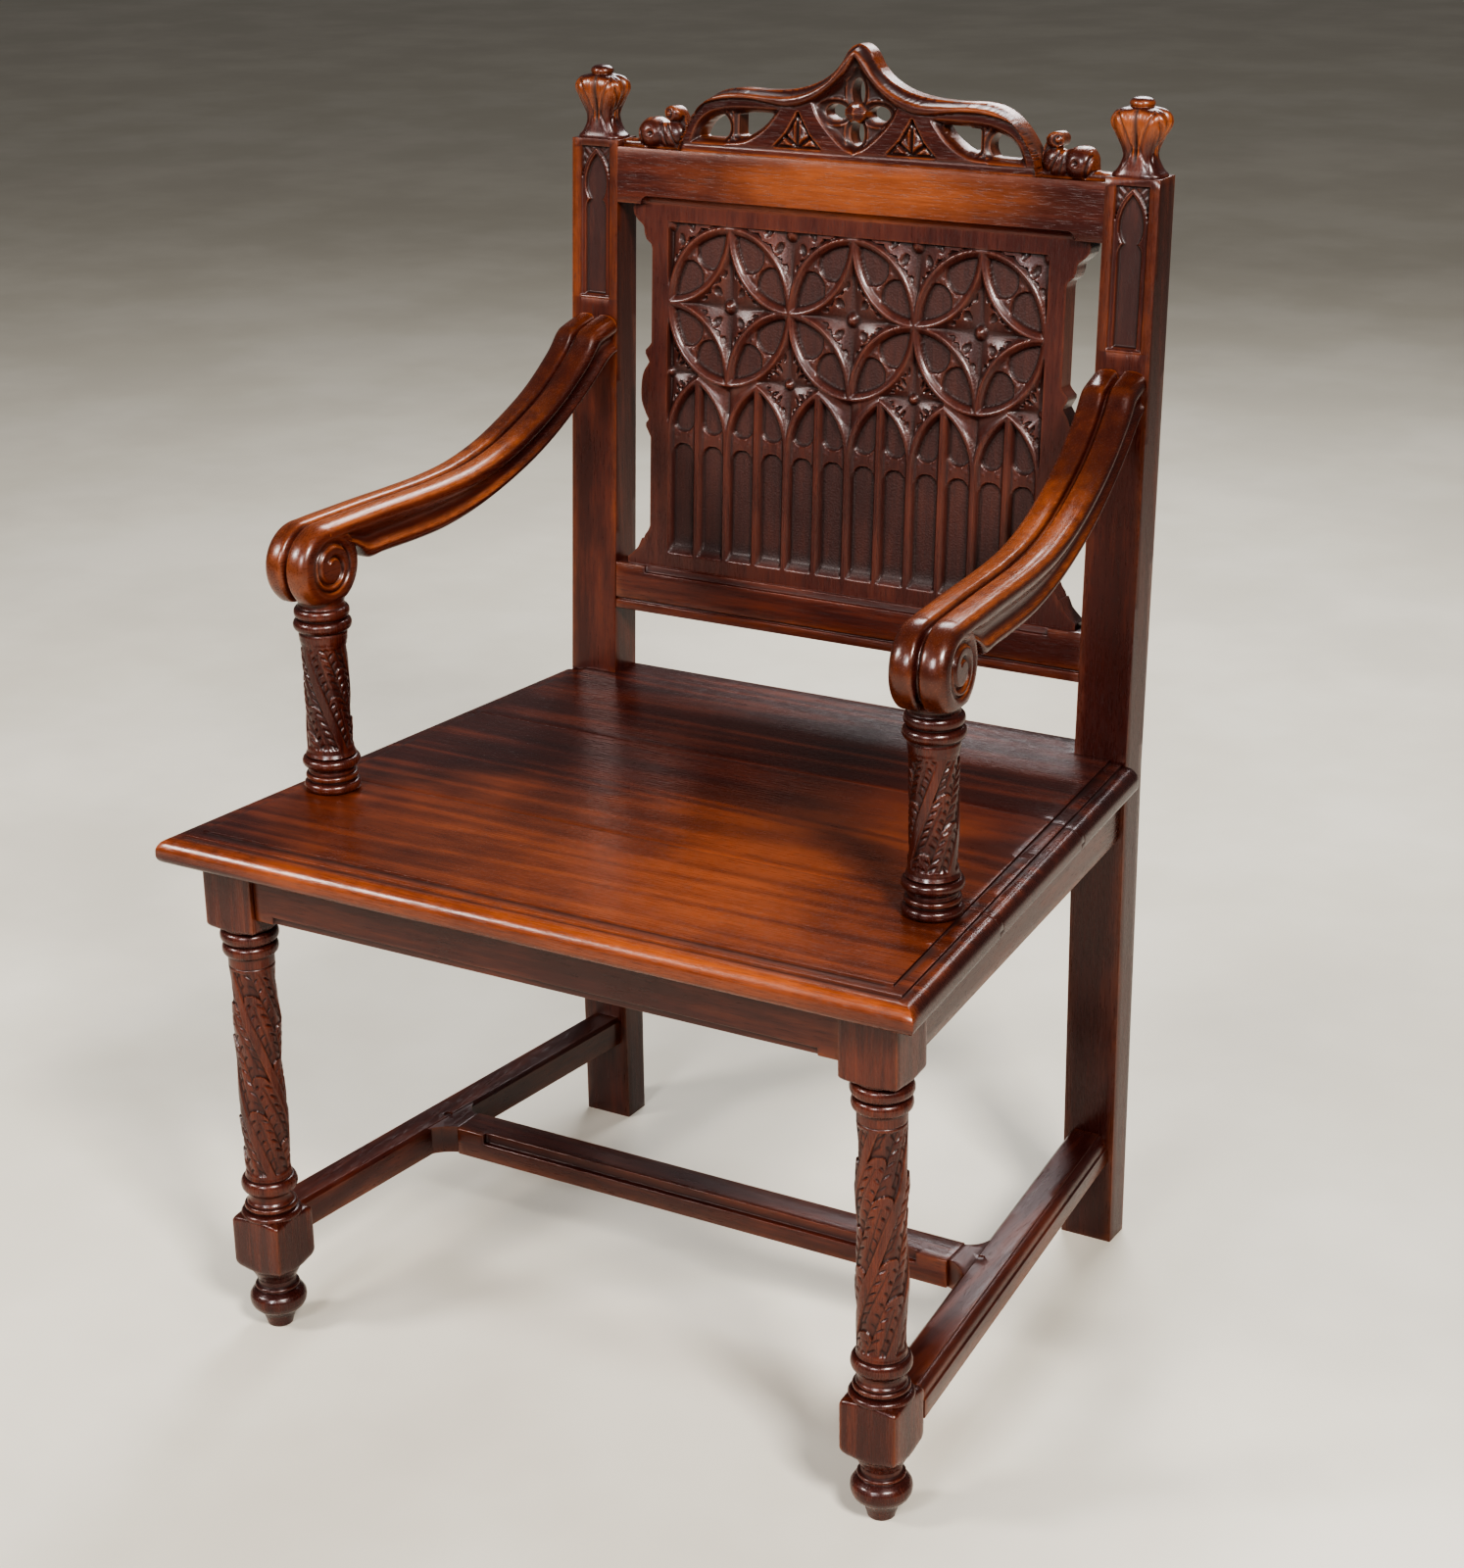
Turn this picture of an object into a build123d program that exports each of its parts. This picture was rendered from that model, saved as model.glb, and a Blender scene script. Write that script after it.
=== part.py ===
"""Gothic Revival carved armchair, every joined piece a solid of its own.

Millimetres. +Z is up, the front of the chair faces -Y and the origin lies on the floor under
the middle of the chair. Left and right are as seen from the front: left is -X.
"""
import os
from math import atan, cos, sin, sqrt

from build123d import *

os.makedirs("parts", exist_ok=True)

# ------------------------------------------------------------------ driving sizes
overall_depth = 566.0  # front edge of the seat to the back of the post tops
seat_height = 450.0
seat_thickness = 25.0
seat_front_half = 334.5  # half width of the seat along its front edge
seat_back_half = 285.0  # half width where the seat meets the posts
field_margin = 26.0  # plain border round the raised field of the seat
step_margin = 15.0
field_rise = 2.0  # height of each of the two steps up to the field
board_joints = (-110.0, 75.0)  # glue lines between the three seat boards

post_width = 46.2
post_outer = 272.7
post_front = 222.4  # front face of the posts up to the seat
post_top = 922.0  # height of the front arris of the post tops
post_depth_foot = 28.0
post_depth_seat = 34.0
post_depth_top = 30.0
lean = (overall_depth / 2 - post_depth_top - post_front) / (post_top - seat_height)

leg_block = 47.7
leg_outer = 309.9
leg_front = -258.8
leg_block_top_bottom = 368.0  # underside of the upper square block
leg_block_low = (59.0, 103.0)  # bottom and top of the lower square block

rail_bottom = 380.0
rail_thick = 22.0
rail_setback = 4.0
tenon = 18.0  # length of the rail tenons
tenon_thick = 8.0

stretcher_bottom = 77.0
stretcher_top = 103.0
stretcher_width = 34.0
cross_width = 34.0
cross_middle = -18.0  # Y of the cross stretcher's middle line

top_rail_low = 421.0  # these heights run up the leaning back, from the seat
top_rail_high = 468.0
lower_rail_low = 61.0
lower_rail_high = 103.0
back_rail_thick = 26.0
panel_face = 7.0  # set back of the panel behind the posts' face
panel_thick = 18.0
tongue = 8.0
circle_width = 118.8
circle_height = 133.2
circle_level = 338.4
crest_rise = 95.8
crest_half = 168.0

arm_width = 46.0
arm_post_x = post_outer - post_width / 2
arm_drum_x = 275.0
arm_drum_y = -138.0
arm_drum_z = 641.0
arm_drum_radius = 32.0
arm_seat_z = 614.0  # flat under the scroll where the arm support stands
support_x = 273.3
support_y = -132.0
pin_radius = 8.0  # turned pins on the ends of the arm supports

# ------------------------------------------------------------------ derived places
half_depth = overall_depth / 2
lean_angle = atan(lean)
post_inner = post_outer - post_width
leg_inner = leg_outer - leg_block
leg_back = leg_front + leg_block
leg_x = leg_outer - leg_block / 2
leg_y = leg_front + leg_block / 2
seat_under = seat_height - seat_thickness
arm_splay = atan((arm_drum_x - arm_post_x) / (post_front - arm_drum_y))

# Plane of the posts' leaning front face: X across, Y up the back, Z out to the front.
back_plane = Plane(
    origin=(0, post_front, seat_height),
    x_dir=(1, 0, 0),
    z_dir=(0, -cos(lean_angle), sin(lean_angle)),
)
# Upright plane through the right arm's middle: X to the back, Y up, Z outwards.
arm_plane = Plane(
    origin=(arm_drum_x, arm_drum_y, 0),
    x_dir=(-sin(arm_splay), cos(arm_splay), 0),
    z_dir=(cos(arm_splay), sin(arm_splay), 0),
)


def block(plane: Plane, low: tuple, high: tuple, mode: Mode = Mode.ADD) -> None:
    """Add or cut a box given by two corners in a plane's own directions."""
    with BuildSketch(plane.offset(low[2]), mode=Mode.PRIVATE) as face:
        with Locations(((low[0] + high[0]) / 2, (low[1] + high[1]) / 2)):
            Rectangle(high[0] - low[0], high[1] - low[1])
    extrude(face.sketch, amount=high[2] - low[2], mode=mode)


def rod(base: tuple, direction: tuple, radius: float, length: float, mode: Mode = Mode.ADD) -> None:
    """Add or cut a round pin that starts at a point and runs in a direction."""
    with BuildSketch(Plane(origin=base, z_dir=direction), mode=Mode.PRIVATE) as face:
        Circle(radius)
    extrude(face.sketch, amount=length, mode=mode)


def turning(axis_x: float, axis_y: float, levels: list) -> None:
    """Add a turned length from (radius, height) pairs, low to high.

    A third number makes the stretch up to that pair a curve with that radius half way.
    """
    upright_plane = Plane(origin=(axis_x, axis_y, 0), x_dir=(1, 0, 0), z_dir=(0, -1, 0))
    with BuildSketch(upright_plane, mode=Mode.PRIVATE) as half:
        with BuildLine():
            Polyline((levels[-1][0], levels[-1][1]), (0, levels[-1][1]), (0, levels[0][1]), levels[0][:2])
            for low, high in zip(levels, levels[1:]):
                if len(high) == 3:
                    ThreePointArc(low[:2], (high[2], (low[1] + high[1]) / 2), high[:2])
                else:
                    Line(low[:2], high[:2])
        make_face()
    revolve(half.sketch, axis=Axis((axis_x, axis_y, 0), (0, 0, 1)))


def twin(source: BuildPart) -> BuildPart:
    """The same piece for the other side of the chair."""
    with BuildPart() as other:
        mirror(source.part, about=Plane.YZ)
    return other


def save(piece: BuildPart, name: str) -> None:
    """Label a finished piece and write its STEP file."""
    piece.part.label = name
    export_step(piece.part, f"parts/{name}.step")


def save_pair(right: BuildPart, name: str) -> None:
    """Write a right-hand piece and its mirrored left-hand partner."""
    save(right, f"{name}_right")
    save(twin(right), f"{name}_left")


# ------------------------------------------------------------------ shared joint shapes
top_tenon = ((post_inner, top_rail_low + 6, -17), (post_inner + tenon, top_rail_high - 7, -9))
low_tenon = ((post_inner, lower_rail_low + 6, -17), (post_inner + tenon, lower_rail_high - 10, -9))
seat_tenon_z = (rail_bottom + 8, seat_under - 7)
front_tenon_y = (leg_front + 11, leg_front + 11 + tenon_thick)
rear_rail_y = (post_front + 5.6, post_front + 25.6)
rear_tenon_y = (rear_rail_y[0] + 6, rear_rail_y[0] + 6 + tenon_thick)
side_front_x = leg_outer - rail_setback - rail_thick / 2
side_rear_x = post_outer - rail_setback - rail_thick / 2
stretch_tenon_z = (stretcher_bottom + 7, stretcher_top - 8)
stretch_front_x = leg_outer - stretcher_width / 2
stretch_rear_x = post_outer - 5 - stretcher_width / 2
arm_tenon_level = (286.0, 312.0)  # up the back
arm_tenon_half = 6.0
arm_tenon_depth = 16.0
nail_base = (arm_post_x - 10, post_front - 19.4, 716.0)
nail_direction = (0, 0.75, 0.66)
nail_radius = 1.5
nail_length = 62.0
nail_sunk = 8.0
finial_dowel = (4.5, 22.0)  # radius, and length each way from the post top
crest_dowel = (4.0, 18.0)
crest_dowel_x = (-53.0, 53.0)
crest_dowel_depth = -13.0
peg_radius = 3.5
peg_x = 262.0
cross_tenon = 30.0
tongue_x = 240.0  # inner end of the boss that takes the cross stretcher
cross_tenon_y = (cross_middle - 5, cross_middle + 5)

# ------------------------------------------------------------------ rear posts, floor to top
with BuildPart() as rear_post_right:
    with BuildSketch(Plane.YZ.offset(post_inner)):
        with BuildLine():
            Polyline(
                (post_front, 0),
                (post_front, seat_height),
                (half_depth - post_depth_top, post_top),
                (half_depth, post_top),
                (post_front + post_depth_seat, seat_height - 10),
                (post_front + post_depth_foot, 0),
                close=True,
            )
        make_face()
    extrude(amount=post_width)
    block(back_plane, *top_tenon, mode=Mode.SUBTRACT)
    block(back_plane, *low_tenon, mode=Mode.SUBTRACT)
    block(
        back_plane,
        (arm_post_x - arm_tenon_half, arm_tenon_level[0], -arm_tenon_depth),
        (arm_post_x + arm_tenon_half, arm_tenon_level[1], 0),
        mode=Mode.SUBTRACT,
    )
    block(  # rear seat rail's mortise
        Plane.XY,
        (post_inner, rear_tenon_y[0], seat_tenon_z[0]),
        (post_inner + tenon, rear_tenon_y[1], seat_tenon_z[1]),
        mode=Mode.SUBTRACT,
    )
    block(  # side seat rail's mortise
        Plane.XY,
        (side_rear_x - tenon_thick / 2, post_front, seat_tenon_z[0]),
        (side_rear_x + tenon_thick / 2, post_front + tenon, seat_tenon_z[1]),
        mode=Mode.SUBTRACT,
    )
    block(  # side stretcher's mortise
        Plane.XY,
        (stretch_rear_x - 5, post_front, stretch_tenon_z[0]),
        (stretch_rear_x + 5, post_front + tenon, stretch_tenon_z[1]),
        mode=Mode.SUBTRACT,
    )
    rod(
        (arm_post_x, half_depth - post_depth_top / 2, post_top),
        (0, 0, -1),
        *finial_dowel,
        mode=Mode.SUBTRACT,
    )
    rod(nail_base, nail_direction, nail_radius, nail_length, mode=Mode.SUBTRACT)
    block(  # sunk panel in the upper front face
        back_plane,
        (arm_post_x - 15, 336, -6),
        (arm_post_x + 15, 467, 0),
        mode=Mode.SUBTRACT,
    )
save_pair(rear_post_right, "rear_post")

# ------------------------------------------------------------------ finials on the posts
finial_top = post_top + 55
finial_y = half_depth - post_depth_top / 2


def bud_outline(plane: Plane, middle: float, foot: float, neck: float, bulge: float, crown: float) -> Sketch:
    """The bud's side view on a plane: flared foot, hollow neck, full head."""
    with BuildSketch(plane, mode=Mode.PRIVATE) as outline:
        with BuildLine():
            edge = Spline(
                (middle + foot, post_top),
                (middle + neck, post_top + 15),
                (middle + bulge, post_top + 42),
                (middle + crown, finial_top),
            )
            mirror(edge, about=Plane.YZ.offset(middle))
            Line((middle - crown, finial_top), (middle + crown, finial_top))
            Line((middle - foot, post_top), (middle + foot, post_top))
        make_face()
    return outline.sketch


with BuildPart() as post_finial_right:
    extrude(
        bud_outline(Plane.XZ.offset(-half_depth), arm_post_x, 22, 13.5, 21.5, 10),
        amount=post_depth_top,
    )
    extrude(
        bud_outline(Plane.YZ.offset(arm_post_x - 30), finial_y, 14.5, 12, 14, 9),
        amount=60,
        mode=Mode.INTERSECT,
    )
    rod((arm_post_x, finial_y, finial_top), (0, 0, 1), 9, 6)
    fillet(faces().sort_by(Axis.Z)[-1].edges(), 4)
    rod((arm_post_x, finial_y, post_top), (0, 0, 1), *finial_dowel, mode=Mode.SUBTRACT)
save_pair(post_finial_right, "post_finial")

with BuildPart() as finial_dowels:
    for side in (-1, 1):
        base = (side * arm_post_x, finial_y, post_top - finial_dowel[1])
        rod(base, (0, 0, 1), finial_dowel[0], 2 * finial_dowel[1])
save(finial_dowels, "finial_dowels")

# ------------------------------------------------------------------ back rails
tongue_half = 206.0
tongue_depth = (-20.0, -12.0)
hollow_half = 196.0
hollow_radius = 7.0

with BuildPart() as top_back_rail:
    block(
        back_plane,
        (-post_inner, top_rail_low, -back_rail_thick),
        (post_inner, top_rail_high, 0),
    )
    block(back_plane, *top_tenon)
    mirror(about=Plane.YZ)
    block(  # groove for the panel's upper tongue
        back_plane,
        (-tongue_half, top_rail_low, tongue_depth[0]),
        (tongue_half, top_rail_low + tongue, tongue_depth[1]),
        mode=Mode.SUBTRACT,
    )
    hollow_start = back_plane.from_local_coords((-hollow_half, top_rail_low, 0))
    rod(hollow_start, (1, 0, 0), hollow_radius, 2 * hollow_half, mode=Mode.SUBTRACT)
    with Locations(hollow_start, back_plane.from_local_coords((hollow_half, top_rail_low, 0))):
        Sphere(hollow_radius, mode=Mode.SUBTRACT)
    for x in crest_dowel_x:
        mouth = back_plane.from_local_coords((x, top_rail_high, crest_dowel_depth))
        rod(mouth, -back_plane.y_dir, *crest_dowel, mode=Mode.SUBTRACT)
save(top_back_rail, "top_back_rail")

with BuildPart() as lower_back_rail:
    block(
        back_plane,
        (-post_inner, lower_rail_low, -back_rail_thick),
        (post_inner, lower_rail_high, 0),
    )
    block(back_plane, *low_tenon)
    mirror(about=Plane.YZ)
    block(  # groove for the panel's lower tongue
        back_plane,
        (-tongue_half, lower_rail_high - tongue, tongue_depth[0]),
        (tongue_half, lower_rail_high, tongue_depth[1]),
        mode=Mode.SUBTRACT,
    )
    block(  # stopped step along the top edge
        back_plane,
        (-hollow_half, lower_rail_high - 6, -3),
        (hollow_half, lower_rail_high, 0),
        mode=Mode.SUBTRACT,
    )
    block(  # quirk over the bead on the bottom edge
        back_plane,
        (-post_inner, lower_rail_low + 8, -2),
        (post_inner, lower_rail_low + 10, 0),
        mode=Mode.SUBTRACT,
    )
save(lower_back_rail, "lower_back_rail")

# ------------------------------------------------------------------ carved back panel
panel_plane = back_plane.offset(-panel_face)
panel_half = 195.0
light_width = circle_width / 4
light_count = 12
rib = 3.0
pocket = 6.0
sill = 127.0
spring = 220.0
arch_top = 269.0

with BuildPart() as back_panel:
    with BuildSketch(panel_plane):
        with BuildLine() as edge:
            Line((0, lower_rail_high), (212, lower_rail_high))
            Line((212, lower_rail_high), (212, 109))
            ThreePointArc((212, 109), (204, 122), (200, 130))
            Line((200, 130), (panel_half, 137))
            Line((panel_half, 137), (panel_half, 222))
            Line((panel_half, 222), (201, 230))
            Line((201, 230), (197, 236))
            ThreePointArc((197, 236), (205, 261), (197, 286))
            Line((197, 286), (201, 291))
            Line((201, 291), (panel_half, 299))
            Line((panel_half, 299), (panel_half, 386))
            ThreePointArc((panel_half, 386), (201, 393), (203, 402))
            ThreePointArc((203, 402), (211, 408), (213, 415))
            Line((213, 415), (210, top_rail_low))
            Line((210, top_rail_low), (0, top_rail_low))
            mirror(edge.line, about=Plane.YZ)
        make_face()
    extrude(amount=-panel_thick)
    block(
        back_plane,
        (-tongue_half, lower_rail_high - tongue, tongue_depth[0]),
        (tongue_half, top_rail_low + tongue, tongue_depth[1]),
    )
    with BuildSketch(panel_plane):
        for light in range(light_count):
            low_x = (light - light_count / 2) * light_width + rib / 2
            high_x = low_x + light_width - rib
            outer, inner = (low_x, high_x) if light % 2 == 0 else (high_x, low_x)
            with BuildLine():
                Polyline((inner, arch_top), (inner, sill), (outer, sill), (outer, spring))
                bend = outer + (inner - outer) * 0.3
                ThreePointArc((outer, spring), (bend, spring + 27), (inner, arch_top))
            make_face()
    extrude(amount=-pocket, mode=Mode.SUBTRACT)
    for ring in (-1, 0, 1):
        for turn_x in (-1, 1):
            for turn_y in (-1, 1):
                corner = (ring + turn_x / 2) * circle_width, circle_level + turn_y * circle_height / 2
                with BuildSketch(panel_plane, mode=Mode.PRIVATE) as petal:
                    with Locations((ring * circle_width, circle_level)):
                        Ellipse(circle_width / 2 - rib, circle_height / 2 - rib)
                    with Locations(corner):
                        Ellipse(
                            circle_width / 2 - rib, circle_height / 2 - rib, mode=Mode.INTERSECT
                        )
                extrude(petal.sketch, amount=-pocket, mode=Mode.SUBTRACT)
save(back_panel, "back_panel")

# ------------------------------------------------------------------ crest and its scrolls
crest_thick = 26.0
eye_level = 39.0  # middle of the quatrefoil above the rail

with BuildPart() as crest:
    crest_plane = Plane(
        origin=back_plane.from_local_coords((0, top_rail_high, 0)),
        x_dir=back_plane.x_dir,
        z_dir=back_plane.z_dir,
    )
    with BuildSketch(crest_plane):
        with BuildLine() as ogee:
            Line((0, 0), (crest_half, 0))
            Line((crest_half, 0), (crest_half, 12))
            Spline((crest_half, 12), (150, 36), (107, 54), (66, 54.5), (30, 67), (12, 87))
            Line((12, 87), (0, crest_rise))
            mirror(ogee.line, about=Plane.YZ)
        make_face()
        with Locations((0, eye_level + 21), (0, eye_level - 18)):
            Ellipse(5.5, 9.5, mode=Mode.SUBTRACT)
        with Locations((-22, eye_level), (22, eye_level)):
            Ellipse(9.5, 6.5, mode=Mode.SUBTRACT)
        with Locations((-98, 31), (98, 31)):
            Ellipse(13, 6, mode=Mode.SUBTRACT)
        with Locations((-133, 25), (133, 25)):
            Ellipse(12, 9, mode=Mode.SUBTRACT)
    extrude(amount=-crest_thick)
    for x in crest_dowel_x:
        mouth = crest_plane.from_local_coords((x, 0, crest_dowel_depth))
        rod(mouth, back_plane.y_dir, *crest_dowel, mode=Mode.SUBTRACT)
save(crest, "crest")

with BuildPart() as crest_dowels:
    for x in crest_dowel_x:
        foot = crest_plane.from_local_coords((x, -crest_dowel[1], crest_dowel_depth))
        rod(foot, back_plane.y_dir, crest_dowel[0], 2 * crest_dowel[1])
save(crest_dowels, "crest_dowels")

with BuildPart() as crest_scroll_right:
    with BuildSketch(crest_plane.offset(-3)):
        with BuildLine():
            Polyline((186, 17), (crest_half, 14), (crest_half, 0), (post_inner, 0), (post_inner, 5), (212, 6))
            ThreePointArc((212, 6), (201, 25), (186, 17))
        make_face()
        with Locations((177, 28)):
            Circle(7.5)
        with Locations((178, 16)):
            Rectangle(9, 14)
    extrude(amount=-20)
save_pair(crest_scroll_right, "crest_scroll")

# ------------------------------------------------------------------ arms
with BuildPart() as arm_right:
    with BuildSketch(arm_plane):
        with BuildLine():
            Spline(
                (0, arm_drum_z + arm_drum_radius),
                (72, 677),
                (151, 677.5),
                (230, 690.5),
                (309, 725.5),
                (350, 762),
                tangents=((1, 0), (0.6, 0.8)),
                tangent_scalars=(1, 0.6),
            )
            Polyline((350, 762), (366, 772), (395, 772), (395, 747), (374, 735))
            Spline((374, 735), (297, 687), (219, 656), (140, 639), (80, 637.5), (32, 633))
            ThreePointArc(
                (32, 633),
                (-arm_drum_radius * 0.7, arm_drum_z - arm_drum_radius * 0.714),
                (0, arm_drum_z + arm_drum_radius),
            )
        make_face()
    extrude(amount=arm_width / 2, both=True)
    split(bisect_by=back_plane, keep=Keep.TOP)
    block(  # flat seat on top of the arm support
        Plane.XY,
        (200, arm_drum_y - 60, arm_drum_z - 60),
        (340, arm_drum_y + 60, arm_seat_z),
        mode=Mode.SUBTRACT,
    )
    block(
        back_plane,
        (arm_post_x - arm_tenon_half, arm_tenon_level[0], -arm_tenon_depth),
        (arm_post_x + arm_tenon_half, arm_tenon_level[1], 0),
    )
    rod((support_x, support_y, arm_seat_z), (0, 0, 1), pin_radius, 20, mode=Mode.SUBTRACT)
    nail_mouth = Vector(*nail_base) - Vector(*nail_direction).normalized() * nail_sunk
    rod(nail_mouth, nail_direction, nail_radius, nail_sunk + nail_length, mode=Mode.SUBTRACT)
save_pair(arm_right, "arm")

with BuildPart() as arm_nails:
    rod(nail_base, nail_direction, nail_radius, nail_length)
    mirror(about=Plane.YZ)
save(arm_nails, "arm_nails")

# ------------------------------------------------------------------ turned arm supports
support_turning = [
    (21, seat_height),
    (21, 460, 23.6),
    (20, 461),
    (20, 466, 21.8),
    (19, 467),
    (19, 471, 18.2),
    (20, 472),
    (20, 480, 23.8),
    (19, 487, 18.9),
    (18.6, 530),
    (18.4, 575),
    (19.5, 578),
    (20.5, 586, 19),
    (20.5, 595, 23.9),
    (20, 597),
    (20, 606, 22.6),
    (19.5, 608),
    (20, arm_seat_z, 18.8),
]
with BuildPart() as arm_support_right:
    turning(support_x, support_y, support_turning)
    rod((support_x, support_y, seat_height - 20), (0, 0, 1), pin_radius, 20)
    rod((support_x, support_y, arm_seat_z), (0, 0, 1), pin_radius, 20)
save_pair(arm_support_right, "arm_support")

# ------------------------------------------------------------------ seat boards
seat_slope = (seat_front_half - seat_back_half) / (post_front + half_depth)
seat_stretch = sqrt(1 + seat_slope**2)
seat_rear = post_front + 32.6
pin_hole = 20.0


def seat_layer(margin: float, low: float, high: float) -> None:
    """Add one level of the seat, set in from its front and side edges by a margin."""
    inset = margin * seat_stretch
    front_half = seat_front_half - seat_slope * margin - inset
    with BuildSketch(Plane.XY.offset(low), mode=Mode.PRIVATE) as level:
        with BuildLine():
            Polyline(
                (-front_half, margin - half_depth),
                (front_half, margin - half_depth),
                (seat_back_half - inset, post_front),
                (post_inner, post_front),
                (post_inner, seat_rear),
                (-post_inner, seat_rear),
                (-post_inner, post_front),
                (inset - seat_back_half, post_front),
                close=True,
            )
        make_face()
    extrude(level.sketch, amount=high - low)


with BuildPart() as seat_blank:
    seat_layer(0, seat_under, seat_height - 2 * field_rise)
    upper = edges().filter_by(lambda e: e.center().Z > seat_height - 5).filter_by(
        lambda e: e.center().Y < 0
    )
    fillet(upper, 11)
    lower = edges().filter_by(lambda e: e.center().Z < seat_under + 0.1).filter_by(
        lambda e: e.center().Y < 0
    )
    fillet(lower, 7)
    seat_layer(step_margin, seat_height - 2 * field_rise, seat_height - field_rise)
    seat_layer(field_margin, seat_height - field_rise, seat_height)
    for side in (-1, 1):
        top = (side * support_x, support_y, seat_height)
        rod(top, (0, 0, -1), pin_radius, pin_hole, mode=Mode.SUBTRACT)

edge_tongue = 7.0
edge_tongue_z = (434.0, 440.0)
above, below = seat_height + 10, seat_under - 10


def jointed_edge(y: float) -> list:
    """The tongued line between two boards, from below to above."""
    return [
        (y, below),
        (y, edge_tongue_z[0]),
        (y + edge_tongue, edge_tongue_z[0]),
        (y + edge_tongue, edge_tongue_z[1]),
        (y, edge_tongue_z[1]),
        (y, above),
    ]


def straight_edge(y: float) -> list:
    """An outer limit beyond the seat, from below to above."""
    return [(y, below), (y, above)]


board_edges = [
    straight_edge(-half_depth - 20),
    jointed_edge(board_joints[0]),
    jointed_edge(board_joints[1]),
    straight_edge(half_depth + 20),
]
for board_name, near, far in zip(("front", "middle", "rear"), board_edges, board_edges[1:]):
    with BuildPart() as seat_board:
        add(seat_blank.part)
        with BuildSketch(Plane.YZ.offset(-400)):
            with BuildLine():
                Polyline(*near, *reversed(far), close=True)
            make_face()
        extrude(amount=800, mode=Mode.INTERSECT)
    save(seat_board, f"seat_board_{board_name}")

# ------------------------------------------------------------------ rails under the seat
rail_face = leg_front + rail_setback
rail_slope = (leg_outer - post_outer) / (post_front - leg_back)


def side_rail_x(y: float, inset: float) -> float:
    """X of a line parallel to the side rail's outer face, set in by an amount."""
    return leg_outer - rail_setback - inset - rail_slope * (y - leg_back)


with BuildPart() as front_seat_rail:
    block(
        Plane.XY,
        (0, rail_face, rail_bottom),
        (leg_inner, rail_face + rail_thick, seat_under),
    )
    block(
        Plane.XY,
        (leg_inner, front_tenon_y[0], seat_tenon_z[0]),
        (leg_inner + tenon, front_tenon_y[1], seat_tenon_z[1]),
    )
    mirror(about=Plane.YZ)
    block(  # stopped step along the lower front edge
        Plane.XY,
        (18 - leg_inner, rail_face, rail_bottom),
        (leg_inner - 18, rail_face + 2.5, rail_bottom + 6),
        mode=Mode.SUBTRACT,
    )
save(front_seat_rail, "front_seat_rail")

with BuildPart() as rear_seat_rail:
    block(
        Plane.XY,
        (0, rear_rail_y[0], rail_bottom),
        (post_inner, rear_rail_y[1], seat_under),
    )
    block(
        Plane.XY,
        (post_inner, rear_tenon_y[0], seat_tenon_z[0]),
        (post_inner + tenon, rear_tenon_y[1], seat_tenon_z[1]),
    )
    mirror(about=Plane.YZ)
save(rear_seat_rail, "rear_seat_rail")

with BuildPart() as side_seat_rail_right:
    with BuildSketch(Plane.XY.offset(rail_bottom)):
        with BuildLine():
            Polyline(
                (side_rail_x(leg_back, 0), leg_back),
                (side_rail_x(post_front, 0), post_front),
                (side_rail_x(post_front, rail_thick), post_front),
                (side_rail_x(leg_back, rail_thick), leg_back),
                close=True,
            )
        make_face()
    extrude(amount=seat_under - rail_bottom)
    for middle_x, start, end in (
        (side_front_x, leg_back - tenon, leg_back),
        (side_rear_x, post_front, post_front + tenon),
    ):
        block(
            Plane.XY,
            (middle_x - tenon_thick / 2, start, seat_tenon_z[0]),
            (middle_x + tenon_thick / 2, end, seat_tenon_z[1]),
        )
save_pair(side_seat_rail_right, "side_seat_rail")

glue_block_low = seat_under - 38
glue_reach = 42.0
with BuildPart() as corner_block_front_right:
    with BuildSketch(Plane.XY.offset(glue_block_low)):
        with BuildLine():
            Polyline(
                (leg_inner - glue_reach, rail_face + rail_thick),
                (leg_inner, rail_face + rail_thick),
                (leg_inner, leg_back),
                (side_rail_x(leg_back, rail_thick), leg_back),
                (side_rail_x(leg_back + glue_reach, rail_thick), leg_back + glue_reach),
                close=True,
            )
        make_face()
    extrude(amount=seat_under - glue_block_low)
save_pair(corner_block_front_right, "corner_block_front")

with BuildPart() as corner_block_rear_right:
    with BuildSketch(Plane.XY.offset(glue_block_low)):
        with BuildLine():
            Polyline(
                (post_inner - glue_reach, rear_rail_y[0]),
                (post_inner, rear_rail_y[0]),
                (post_inner, post_front),
                (side_rail_x(post_front, rail_thick), post_front),
                (side_rail_x(post_front - glue_reach, rail_thick), post_front - glue_reach),
                close=True,
            )
        make_face()
    extrude(amount=seat_under - glue_block_low)
save_pair(corner_block_rear_right, "corner_block_rear")

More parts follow.
